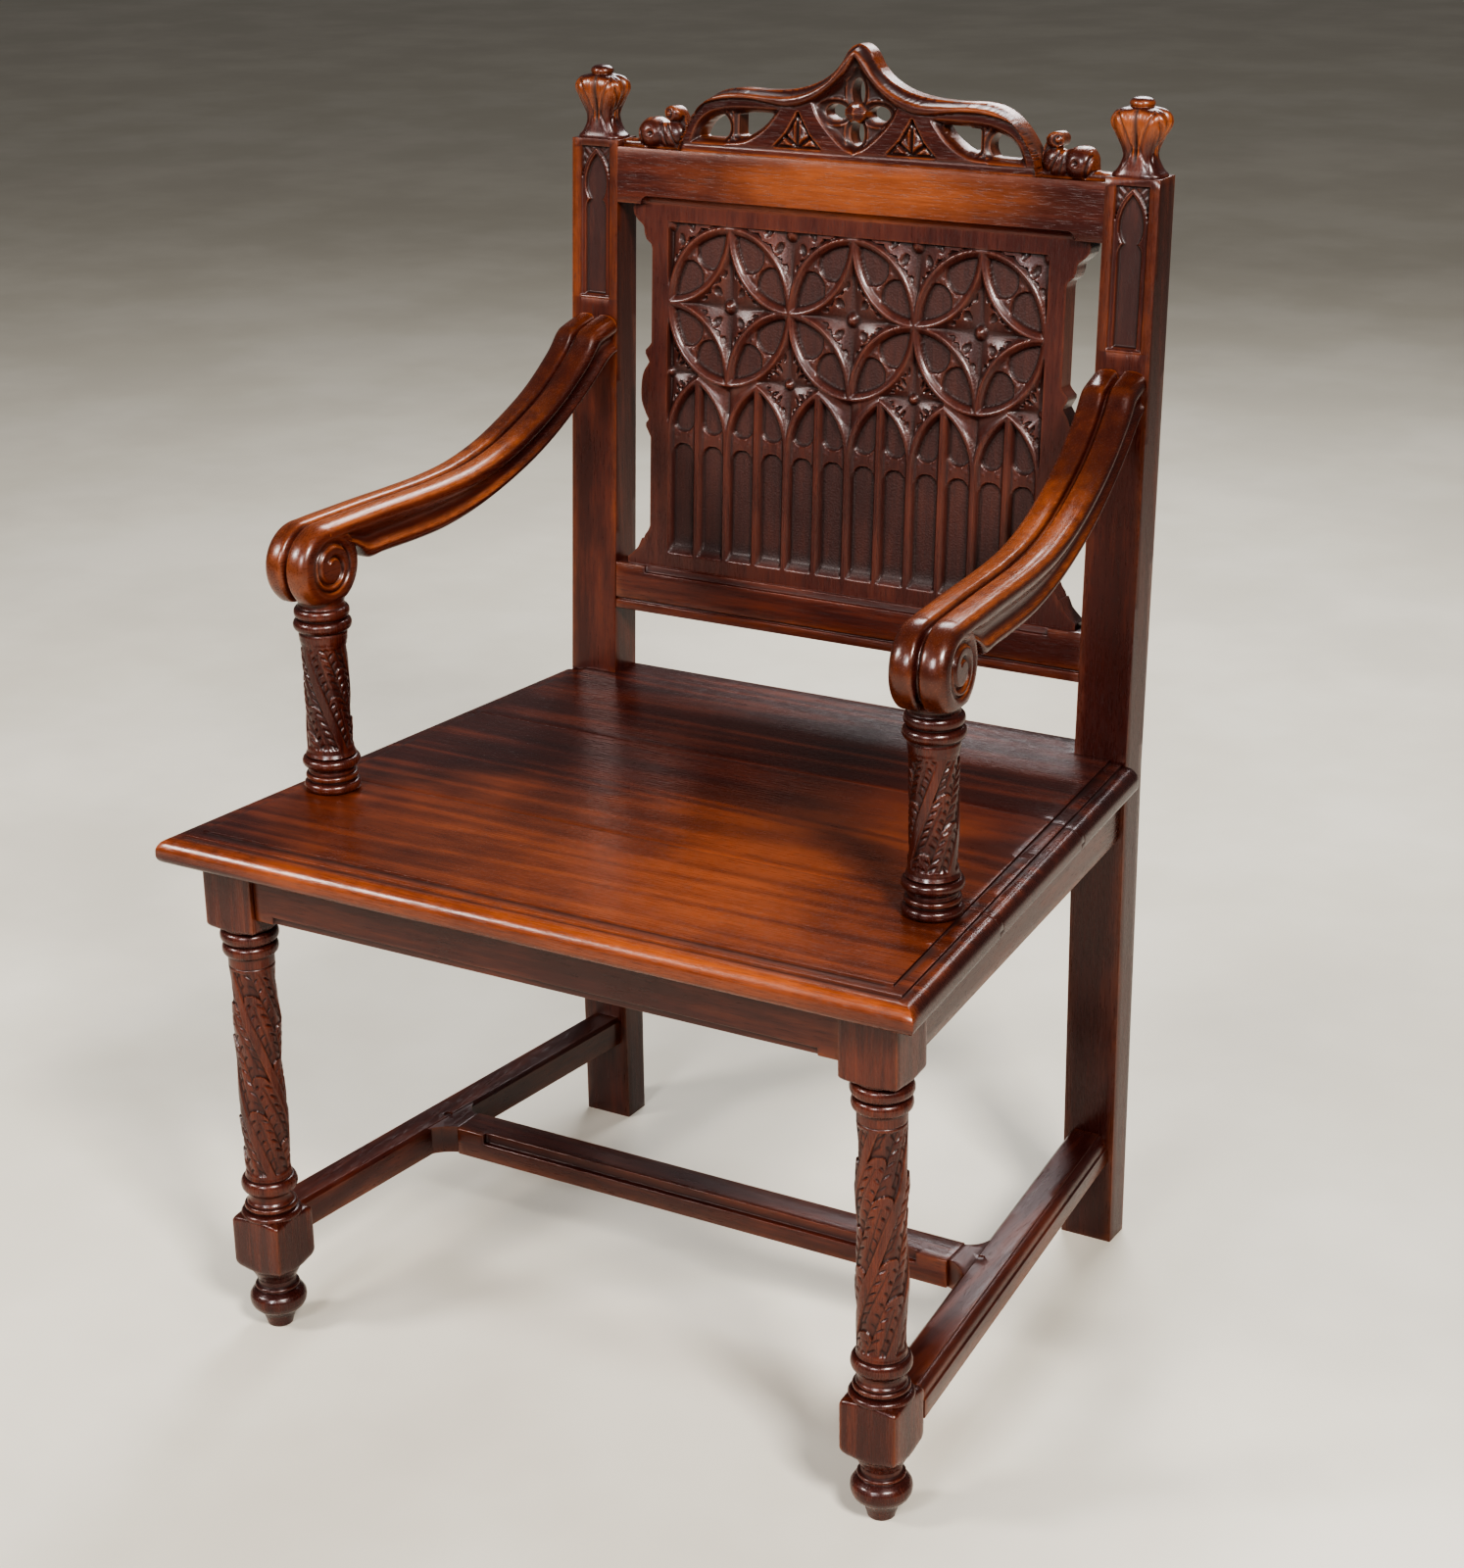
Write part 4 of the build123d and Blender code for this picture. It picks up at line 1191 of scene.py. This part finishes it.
# ---------------------------------------------------------------- arms
@dataclass
class Arms:
    """The two swept arms, each ending in a drum with a volute."""

    drum: tuple[float, float, float] = (275.0, -138.0, 641.0)
    radius: float = 34.6
    seat: float = 614.0
    proud: float = 38.0
    drum_count: int = 132
    volute: float = 19.6
    volute_fall: float = 10.4
    line: tuple = (
        (-139, 675.4, -139, 664), (-125, 675.9, -122, 659), (-110, 676.2, -104, 648),
        (-90, 676.5, -92, 637.5),
        (-66, 676.8, -72, 637.6), (-25, 676.8, -32, 637.3), (13, 677.6, 5, 639),
        (52, 681.2, 44, 645.5), (92, 690.5, 85, 656.5), (131, 705.5, 126, 671), (168, 724.2, 163, 689),
        (199, 747.5, 203, 713), (212, 762, 228, 731), (222, 766.5, 238, 737), (243.5, 772, 243.5, 739),
    )
    section: tuple = (
        (0, 0.165), (1.1, 0.15), (2.2, 0.075), (4.0, 0.02), (7.5, 0.0), (12, 0.0), (16, 0.02), (19.4, 0.065),
        (21.8, 0.14), (22.8, 0.24), (22.3, 0.33), (20.6, 0.41), (19.0, 0.49), (18.4, 0.57), (18.8, 0.66),
        (20.3, 0.74), (22.0, 0.8), (22.7, 0.855), (22.0, 0.92), (19.6, 0.97), (15.5, 1.0), (0, 1.0),
    )

    def spot(self, side: int, along: Array, up: Array, out: Array) -> Array:
        """Place points on an arm, which splays a little from front to back.

        Args:
            side: 1 for the right, -1 for the left.
            along: distances back from the drum.
            up: heights.
            out: distances outwards from the arm's middle.

        Returns:
            The points, with the coordinates last.
        """
        splay = math.atan((self.drum[0] - POST_X) / (POST_FRONT - self.drum[1]))
        x = self.drum[0] - math.sin(splay) * along + math.cos(splay) * out
        y = self.drum[1] + math.cos(splay) * along + math.sin(splay) * out
        return np.stack([side * x, y, up + 0 * x], axis=-1)

    def sweep(self, side: int, label: str) -> bpy.types.Object:
        """Make the arm's swept length, from the drum to the post.

        Args:
            side: 1 for the right, -1 for the left.
            label: the side's name.

        Returns:
            The swept piece.
        """
        stations = flowing(self.line, 9)
        half = flowing(self.section, 3)
        ring = np.vstack([half, half[::-1][1:-1] * np.array([-1.0, 1.0])])
        top = stations[:, :2][:, None, :]
        low = stations[:, 2:][:, None, :]
        thick = np.hypot(*(low - top)[:, 0].T)[:, None]
        share = ring[:, 1][None, :]
        near_top = share * self.proud
        below = 11.4 + (share - 0.3) / 0.7 * (thick - 11.4)
        share = (np.where(share < 0.3, near_top, below) / thick)[..., None]
        path = top + (low - top) * share
        along = path[..., 0] - self.drum[1]
        out = np.broadcast_to(ring[:, 0][None, :], along.shape)
        points = self.spot(side, along, path[..., 1], out)
        return grid_shell(f"arm_sweep_{label}", points)

    def scroll(self, side: int, label: str) -> bpy.types.Object:
        """Make the drum: reeds round it, a volute on each side.

        Args:
            side: 1 for the right, -1 for the left.
            label: the side's name.

        Returns:
            The drum.
        """
        reed = flowing(self.section[:10], 3)
        profile = list(zip(reed[:, 0], self.radius - reed[:, 1] * self.proud))
        profile += [(22.9, 24.5), (22.6, 22.8)]
        disc = [(22.4, r) for r in np.linspace(22.0, 0.0, 34)]
        half = np.array(profile + disc)
        full = np.vstack([half[::-1] * np.array([-1.0, 1.0]), half[1:]])
        turn = np.linspace(0, 2 * math.pi, self.drum_count, endpoint=False)
        a = full[:, :1] + 0 * turn[None, :]
        r = full[:, 1:] + 0 * turn[None, :]
        t = 0 * a + turn[None, :]
        # volute: a groove round the disc, and one that leaves it and hooks in to the eye
        depth = 2.4 * bump_at(r - self.volute, 1.3)
        for lap in range(2):
            winding = (t + 2 * math.pi * lap - 0.9) / (2 * math.pi)
            groove = self.volute - self.volute_fall * winding
            mask = (winding > 0.0) & (winding < 1.25)
            depth = np.maximum(depth, np.where(mask, 3.0 * bump_at(r - groove, 1.9 - 0.5 * winding), 0))
        on_disc = (np.abs(a) > 22.3) & (r < 22.5)
        carved = np.sign(a) * (np.abs(a) + 0.9 * smooth_step(21.0 - r, 0, 3) - depth)
        a = np.where(on_disc, carved, a)
        up = np.maximum(self.drum[2] + r * np.sin(t), self.seat)
        return grid_shell(f"arm_scroll_{label}", self.spot(side, r * np.cos(t), up, a))

    def worn(self, place: Array, facing: Array, rub: Array) -> Array:
        """The rub of hands: full on the level top, fading up the sweep and round the drum.

        Args:
            place: each vertex's place.
            facing: each vertex's normal.
            rub: each vertex's rub from its form.

        Returns:
            Each vertex's rub.
        """
        up = smooth_step(facing[:, 2], 0.1, 0.75)
        level = smooth_step(place[:, 1], -168.0, -118.0)
        level = level * (1 - 0.65 * smooth_step(place[:, 1], 60.0, 190.0))
        front = smooth_step(-facing[:, 1], 0.2, 0.9) * (1 - smooth_step(place[:, 1], -150.0, -130.0))
        return rub * 0.8 + up * level + 0.45 * front

    def build(self, wood: bpy.types.Material) -> None:
        """Make and dress both arms.

        Args:
            wood: their material.
        """
        for side, label in ((1, "right"), (-1, "left")):
            sweep = self.sweep(side, label)
            drum = self.scroll(side, label)
            mark_wear_and_shade(sweep, 0.9, 6, worn=self.worn)
            mark_wear_and_shade(drum, 0.9, 6, worn=self.worn)
            piece = join([sweep, drum])
            piece.name = f"arm_carved_{label}"
            finish_piece(piece, wood, [f"arm_{label}"], 50)


# ---------------------------------------------------------------- turned pieces
@dataclass
class Turnings:
    """The carved arm supports and front legs."""

    round_count: int = 168
    strips: int = 3
    slope: float = 0.36
    band: float = 4.1
    block_count: int = 96
    block_half: float = 23.85
    squareness: float = 24.0

    def winding_leaves(self, x: Array, z: Array, low: float, high: float, radius: float, side: int,
                       leaf_length: float) -> Array:
        """Height of the winding leaf carving over the plain shaft.

        Args:
            x: place round the shaft.
            z: height.
            low: where the carving starts.
            high: where it ends.
            radius: the shaft's radius.
            side: which way it winds.
            leaf_length: length of one leaf.

        Returns:
            The height over the shaft.
        """
        strip = 2 * math.pi * radius / self.strips
        across = x - side * self.slope * (z - low)
        number = np.floor(across / strip)
        q = across - (number + 0.5) * strip
        wide = (strip / 2 - self.band) / 2
        column = np.sign(q)
        middle = column * wide
        stagger = np.mod(number, self.strips) / self.strips + (column > 0) * 0.5
        v = np.mod(z - low + stagger * leaf_length, leaf_length)
        off = (q - middle) / wide
        tip = leaf_length - wide * 1.15
        inside = np.where(v < tip, 1 - np.abs(off) * 0.9, 1 - np.hypot(off, (v - tip) / (wide * 1.15)))
        v = np.where(inside < 0, v - leaf_length, v)
        leaf = -1.9 + 2.1 * np.clip((v + 8) / leaf_length, 0, 1) ** 0.7
        leaf -= 0.75 * np.clip(np.abs(off), 0, 1.2) ** 2
        leaf -= 0.9 * bump_at(q - middle + column * 0.08 * (v - tip), 1.0) * (v > 6) * (v < tip - 1)
        for share in (0.84, 0.69, 0.54, 0.39, 0.24, 0.09):
            lift = v - share * leaf_length + 0.07 * (np.abs(off) * wide) ** 2 - 2.0
            leaf -= 1.7 * bump_at(lift, 1.0) * bump_at(np.abs(off) - 0.6, 0.3)
        border = strip / 2 - self.band
        rib = -2.2 + 2.3 * smooth_step(np.abs(q), border - 0.5, border + 0.5)
        height = np.maximum(leaf, rib) - 0.1
        ends = smooth_step(z, low, low + 2.5) * (1 - smooth_step(z, high - 2.5, high))
        return height * ends

    def winding(
        self, side: int, low: float, high: float, radius: float, start: float, leaf_length: float
    ) -> Callable[[Array, Array], Array]:
        """Choose the leaf carving of one shaft.

        Args:
            side: which way it winds.
            low: where the carving starts.
            high: where it ends.
            radius: the shaft's radius.
            start: how far round the pattern starts.
            leaf_length: length of one leaf.

        Returns:
            The carving, given angles and heights.
        """

        def carve(turn: Array, z: Array) -> Array:
            """Height over the plain shaft.

            Args:
                turn: angles round the shaft.
                z: heights.

            Returns:
                The height at each place.
            """
            round_place = turn * radius + start
            leaves = self.winding_leaves(round_place, z, low, high, radius, side, leaf_length)
            return leaves * ((z > low) & (z < high))

        return carve

    def turned(
        self, name: str, middle: Point, levels: Sequence[tuple], step: float,
        carve: Callable[[Array, Array], Array] | None = None,
    ) -> bpy.types.Object:
        """Make a turned shell, with its wear and painted shade.

        Args:
            name: the piece's name.
            middle: the axis, across and from front to back.
            levels: (height, radius) of each level.
            step: the longest stretch between two rings.
            carve: the carving on it, given angles and heights.

        Returns:
            The new object.
        """
        rows = []
        for (z0, r0), (z1, r1) in zip(levels, levels[1:]):
            n = max(1, int(round(math.hypot(z1 - z0, r1 - r0) / step)))
            rows += [(z0 + (z1 - z0) * k / n, r0 + (r1 - r0) * k / n) for k in range(n)]
        rows.append(levels[-1])
        line = np.array(rows)
        turn = np.linspace(0, 2 * math.pi, self.round_count, endpoint=False)
        z, r = line[:, :1], line[:, 1:]
        turns, heights = turn + 0 * z, z + 0 * turn
        cut = carve(turns, heights) if carve else 0 * heights
        r = r + cut
        x, y = middle[0] + r * np.cos(turn), middle[1] + r * np.sin(turn)
        piece = grid_shell(name, np.stack([x, y, heights], axis=-1))
        # painted shade in the carved cuts, stronger where they go deeper
        mark_wear_and_shade(piece, 0.45, 4, np.clip(-cut.ravel() / 2.2 - 0.4, 0, 1) * 0.8)
        return piece

    def bead(self, low: float, high: float, root: float, crown: float, steps: int = 8) -> list[Point]:
        """Levels of a round moulding between two heights.

        Args:
            low: the lower height.
            high: the upper height.
            root: the radius beside the moulding.
            crown: the radius at its fullest.
            steps: how many levels it has.

        Returns:
            (height, radius) of each level.
        """
        angles = np.linspace(0, math.pi, steps)
        middle, half = (low + high) / 2, (high - low) / 2
        return [(middle - half * math.cos(a), root + (crown - root) * math.sin(a)) for a in angles]

    def support(self, side: int, label: str, wood: bpy.types.Material) -> None:
        """Make one arm support.

        Args:
            side: 1 for the right, -1 for the left.
            label: the side's name.
            wood: the material.
        """
        levels = (
            [(450.0, 20.0)] + self.bead(450.2, 459, 19.5, 23.4) + self.bead(459.8, 465.5, 19, 21.6)
            + [(466.4, 19.0), (468.2, 18.4), (470, 19.4)] + self.bead(470.4, 479.6, 19.4, 23.6)
            + [(481, 20.6), (484, 19.2), (487, 18.9), (575, 18.5), (578, 19.3), (583, 19.6), (585.2, 18.9)]
            + self.bead(586, 595.8, 19.5, 23.6) + self.bead(596.6, 605.6, 19.5, 22.4)
            + [(606.4, 19.2), (609, 18.6), (612, 19.4), (614.0, 20.4)]
        )
        leaves = self.winding(side, 487, 574, 19.0, 6, 46.0)
        piece = self.turned(
            f"arm_support_carved_{label}", (side * 273.3, -132.0), levels, 0.9, leaves
        )
        finish_piece(piece, wood, [f"arm_support_{label}"], 60)

    def leg(self, side: int, label: str, wood: bpy.types.Material) -> None:
        """Make one front leg: turned foot, square block, carved shaft, square head.

        Args:
            side: 1 for the right, -1 for the left.
            label: the side's name.
            wood: the material.
        """
        foot = (
            [(0.0, 9.6), (0.6, 10.6), (5, 11.8), (10, 13.4), (13.5, 15.2), (15.5, 18.4),
             (18.5, 21.4), (22, 23.2), (25.5, 23.8), (29, 23.4), (32, 21.6), (34.5, 18.6), (35.4, 17.0)]
            + self.bead(35.8, 39.4, 16.8, 18.6)
            + [(40.2, 15.8), (44, 15.9), (49, 18.0), (54, 20.6), (60, 22.0)]
        )
        shaft = (
            [(102.0, 21.0)] + self.bead(103.2, 110.6, 20.5, 25.2) + self.bead(111.4, 116.6, 19.5, 22.0)
            + [(117.6, 19.6), (120, 17.9), (123, 17.4), (126, 18.2), (127, 19.3)]
            + self.bead(127.6, 140.4, 19.3, 23.4, 12)
            + [(141.2, 19.6), (144, 18.8), (172, 19.3), (200, 20.4), (222, 19.4), (245, 18.3),
               (262, 19.3), (280, 20.3), (300, 18.6), (316, 18.4), (331, 18.7), (331.8, 18.0),
               (332.6, 18.7), (340.4, 18.8)]
            + self.bead(341.4, 351.8, 19.5, 22.8) + self.bead(352.6, 364, 19.5, 23.8)
            + [(364.6, 21), (369.0, 21.4)]
        )
        leaves = self.winding(side, 145, 330, 19.2, 14, 62.0)
        middle = (side * 286.05, -234.95)
        pieces = [
            self.turned("leg_foot", middle, foot, 1.2),
            self.turned("leg_shaft", middle, shaft, 0.95, leaves),
            self.block("leg_block", middle, 56.0, 106.5, 10.0, 5.5),
            self.block("leg_head", middle, 366.0, 425.0, 5.0, 0.4),
        ]
        for piece in pieces[2:]:
            mark_wear_and_shade(piece, 0.5, 2)
        piece = join(pieces)
        piece.name = f"front_leg_carved_{label}"
        finish_piece(piece, wood, [f"front_leg_{label}"], 50)

    def block(
        self, name: str, middle: Point, low: float, high: float, fall_low: float, fall_high: float
    ) -> bpy.types.Object:
        """Make a square block whose ends round in to the turning.

        Args:
            name: the piece's name.
            middle: the axis, across and from front to back.
            low: the bottom's height.
            high: the top's height.
            fall_low: how far up the bottom's rounding reaches.
            fall_high: how far down the top's rounding reaches.

        Returns:
            The new object.
        """
        shares = np.linspace(0, 1, 7)
        straight = np.linspace(low + fall_low, high - fall_high, 9)[1:-1]
        rows = [(low + fall_low * t, 1 - t) for t in shares]
        rows += [(z, 0.0) for z in straight]
        rows += [(high - fall_high * (1 - t), t) for t in shares]
        turn = np.linspace(0, 2 * math.pi, self.block_count, endpoint=False) + math.pi / 4
        c, s = np.cos(turn), np.sin(turn)
        roundness = np.abs(c) ** self.squareness + np.abs(s) ** self.squareness
        square = roundness ** (-1 / self.squareness) * self.block_half
        rings = []
        for z, t in rows:
            disc = self.block_half * (1.0 - 0.10 * t**3)
            corner = np.clip(square - disc, 0, None)
            reach = disc + corner * math.sqrt(max(0.0, 1 - t * t))
            radius = np.where(square > disc, reach, square)
            rings.append(np.stack([middle[0] + radius * c, middle[1] + radius * s, z + 0 * c], axis=-1))
        return grid_shell(name, np.array(rings))

    def build(self, wood: bpy.types.Material) -> None:
        """Make the supports and the legs.

        Args:
            wood: their material.
        """
        for side, label in ((1, "right"), (-1, "left")):
            self.support(side, label, wood)
            self.leg(side, label, wood)


# ---------------------------------------------------------------- plain joinery
@dataclass
class Joinery:
    """Rails, seat boards and stretchers with softened edges, and the hidden pieces."""

    softened: dict = field(
        default_factory=lambda: {
            "top_back_rail": ("rail", "frame_wood", 1.2),
            "lower_back_rail": ("low_rail", "frame_wood", 0.8),
            "front_seat_rail": ("low_rail", "frame_wood", 1.0),
            "seat_board_front": ("seat", "seat_wood", 0.3),
            "seat_board_middle": ("seat", "seat_wood", 0.3),
            "seat_board_rear": ("seat", "seat_wood", 0.3),
            "side_seat_rail_left": ("side", "frame_wood", 1.0),
            "side_seat_rail_right": ("side", "frame_wood", 1.0),
            "rear_seat_rail": ("low_rail", "frame_wood", 1.0),
            "side_stretcher_left": ("side", "frame_wood", 1.2),
            "side_stretcher_right": ("side", "frame_wood", 1.2),
            "cross_stretcher": ("low_rail", "frame_wood", 1.2),
        }
    )
    hidden: tuple = (
        "corner_block_front_left", "corner_block_front_right", "corner_block_rear_left",
        "corner_block_rear_right", "finial_dowels", "crest_dowels",
    )

    def build(self, woods: dict[str, bpy.types.Material]) -> None:
        """Make and dress the plain pieces.

        Args:
            woods: the materials by their short names.
        """
        for node, (wood, slot, edge) in self.softened.items():
            piece = from_node(node, f"{node}_soft", edge, 9.0)
            if wood == "seat":
                mark_wear_and_shade(piece, 0.2, 2, worn=self.seat_wear)
            else:
                mark_wear_and_shade(piece, 0.55, 2)
            finish_piece(piece, woods[wood], [node], 35)
        for node in self.hidden:
            self.dress(node, woods["inner"])
        self.dress("stretcher_pegs", woods["peg"])
        self.dress("arm_nails", woods["iron"])

    def seat_wear(self, place: Array, facing: Array, rub: Array) -> Array:
        """The rub of the seat: its front edge, but not the joints between its boards.

        Args:
            place: each vertex's place.
            facing: each vertex's normal.
            rub: each vertex's rub from its form.

        Returns:
            Each vertex's rub.
        """
        nosing = 1 - smooth_step(place[:, 1], -276.0, -266.0)
        return rub * 0.2 + nosing * smooth_step(facing[:, 2], -0.4, 0.5) * 0.8

    def dress(self, node: str, finish: bpy.types.Material) -> None:
        """Give a CAD node its finish.

        Args:
            node: the CAD node.
            finish: the material.
        """
        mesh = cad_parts[node].data
        mesh.materials.clear()
        mesh.materials.append(finish)


@dataclass(frozen=True)
class DullIron:
    """Dark, slightly rusted nail iron."""

    name: str = "nail_iron"
    base: tuple[float, float, float] = (0.05, 0.045, 0.042)
    rust: tuple[float, float, float] = (0.10, 0.035, 0.015)

    def build(self) -> bpy.types.Material:
        """Make the material.

        Returns:
            The finished node material.
        """
        g = Graph(self.name)
        place = g.add("ShaderNodeTexCoord", {}, {}, "Object")
        spots = g.noise(place, 700.0, 3.0, 0.6)
        colour = g.blend(spots.band(0.5, 0.7), self.base, self.rust)
        sockets = {"Base Color": colour, "Metallic": 0.8, "Roughness": (spots * 0.4 + 0.4).clamp()}
        g.add_output(g.add("ShaderNodeBsdfPrincipled", {}, sockets))
        return g.material


# ---------------------------------------------------------------- studio
@dataclass
class Studio:
    """A pale floor, soft lights and the camera."""

    eye: tuple[float, float, float] = (1156.13, -1901.55, 1300.93)
    yaw: float = 30.708
    pitch: float = 20.779
    roll: float = -0.977
    lens: float = 67.65

    def floor(self) -> None:
        """Lay the pale floor."""
        deselect()
        bpy.ops.mesh.primitive_plane_add(size=30.0, location=(0, 0, 0))
        ground = bpy.context.object
        ground.name = "studio_floor"
        g = Graph("pale_floor")
        place = g.add("ShaderNodeTexCoord", {}, {}, "Object")
        cloud = g.noise(place, 2.2, 4.0, 0.6)
        colour = g.blend(cloud.band(0.35, 0.7), (0.60, 0.56, 0.48), (0.67, 0.63, 0.55))
        g.add_output(g.add("ShaderNodeBsdfPrincipled", {}, {"Base Color": colour, "Roughness": 0.6}))
        ground.data.materials.append(g.material)

    def light(self, name: str, place: Sequence[float], aim: Sequence[float], size: float, power: float,
              colour: Sequence[float] = (1.0, 1.0, 1.0)) -> None:
        """Hang one soft square light.

        Args:
            name: the light's name.
            place: where it hangs, in metres.
            aim: what it points at, in metres.
            size: its side, in metres.
            power: its power in watts.
            colour: its colour.
        """
        data = bpy.data.lights.new(name, "AREA")
        data.size = size
        data.energy = power
        data.color = colour
        lamp = bpy.data.objects.new(name, data)
        lamp.location = place
        turn = (Vector(aim) - Vector(place)).to_track_quat("-Z", "Y")
        lamp.rotation_euler = turn.to_euler()
        bpy.context.scene.collection.objects.link(lamp)

    def camera(self) -> None:
        """Set up the camera."""
        y, p, r = (math.radians(v) for v in (self.yaw, self.pitch, self.roll))
        ahead = Vector((-math.sin(y) * math.cos(p), math.cos(y) * math.cos(p), -math.sin(p)))
        right = Vector((math.cos(y), math.sin(y), 0.0))
        up = right.cross(ahead)
        right2 = right * math.cos(r) + up * math.sin(r)
        up2 = up * math.cos(r) - right * math.sin(r)
        turn = Matrix((right2, up2, -ahead)).transposed()
        data = bpy.data.cameras.new("camera")
        data.lens = self.lens
        data.sensor_width = 36.0
        data.sensor_fit = "AUTO"
        data.clip_end = 60.0
        camera = bpy.data.objects.new("camera", data)
        camera.matrix_world = Matrix.Translation(Vector(self.eye) * MM) @ turn.to_4x4()
        bpy.context.scene.collection.objects.link(camera)
        bpy.context.scene.camera = camera

    def build(self) -> None:
        """Set up the whole studio."""
        self.floor()
        self.camera()
        self.light("key_right", (2.5, -1.9, 2.9), (0.0, 0.0, 0.6), 0.8, 165.0, (1.0, 0.97, 0.93))
        self.light("key_left", (-2.3, -2.3, 2.4), (0.0, 0.0, 0.6), 0.8, 72.0, (1.0, 0.97, 0.94))
        self.light("front", (0.15, -3.0, 1.95), (0.0, 0.0, 0.7), 0.7, 50.0, (0.97, 0.98, 1.0))
        self.light("top_back", (-0.4, 2.2, 2.6), (0.0, 0.0, 0.5), 1.6, 70.0, (0.96, 0.98, 1.0))
        world = bpy.data.worlds.new("studio_air")
        world.use_nodes = True
        shade = world.node_tree.nodes["Background"]
        shade.inputs[0].default_value = (0.57, 0.56, 0.55, 1.0)
        shade.inputs[1].default_value = 0.26
        bpy.context.scene.world = world
        bpy.context.scene.view_settings.look = "AgX - High Contrast"


def make_woods() -> dict[str, bpy.types.Material]:
    """Make every finish once.

    Returns:
        The materials by their short names.
    """
    finishes = {
        "post": StainedWood("post_wood", Grain.UPRIGHT, rub=0.28),
        # the top rail carries a painted sheen across its middle
        "rail": StainedWood(
            "top_rail_wood", Grain.ACROSS, rub=0.3, painted_sheen=0.66, painted_sheen_middle=(0.03, 0.23, 0.899),
            painted_sheen_size=(0.19, 0.2, 0.03),
        ),
        "low_rail": StainedWood("rail_wood", Grain.ACROSS, rub=0.25),
        "side": StainedWood("side_wood", Grain.DEEP, rub=0.3),
        "peg": StainedWood("peg_wood", Grain.UPRIGHT, rub=0.2),
        # the seat carries a broad painted sheen
        "seat": StainedWood(
            "seat_wood", Grain.ACROSS, painted_sheen=0.7, painted_sheen_middle=(0.06, -0.20, 0.45), painted_sheen_size=(0.33, 0.25, 0.2),
            rub=0.75, polish=0.28, figure=1.25, rubbed_and_sheen=(0.40, 0.105, 0.030),
        ),
        "arm": StainedWood("arm_wood", Grain.DEEP, rub=0.8, polish=0.26),
        "panel": StainedWood(
            "panel_wood", Grain.UPRIGHT, deep=(0.034, 0.0100, 0.0085), body=(0.070, 0.0180, 0.0135),
            light=(0.115, 0.032, 0.019), rubbed_and_sheen=(0.24, 0.070, 0.028), polish=0.28, rub=0.2, recess_shade_strength=0.75,
            tooled=2.4, figure=0.15,
        ),
        "crest": StainedWood("crest_wood", Grain.ACROSS, polish=0.29, rub=0.6, recess_shade_strength=0.75),
        "carved": StainedWood("carved_wood", Grain.UPRIGHT, polish=0.26, rub=0.2, recess_shade_strength=0.85),
        # the buds carry a painted sheen round their fullest part
        "bud": StainedWood(
            "bud_wood", Grain.UPRIGHT, polish=0.28, rub=0.85, recess_shade_strength=0.9, painted_sheen=0.6,
            painted_sheen_middle=(0.0, 0.26, 0.966), painted_sheen_size=(0.7, 0.14, 0.022),
        ),
        "inner": StainedWood(
            "inner_wood", Grain.UPRIGHT, body=(0.12, 0.05, 0.02), light=(0.26, 0.12, 0.05), polish=0.6,
            rub=0.2,
        ),
        "iron": DullIron(),
    }
    return {key: finish.build() for key, finish in finishes.items()}


def main() -> None:
    """Build the chair's looks and the studio."""
    woods = make_woods()
    Joinery().build(woods)
    BackPosts().build(woods["post"], woods["bud"])
    TraceryPanel().build(woods["panel"])
    Crest().build(woods["crest"])
    Arms().build(woods["arm"])
    Turnings().build(woods["carved"])
    Studio().build()


if __name__ == "__main__":
    logging.basicConfig(level=logging.INFO)
    main()
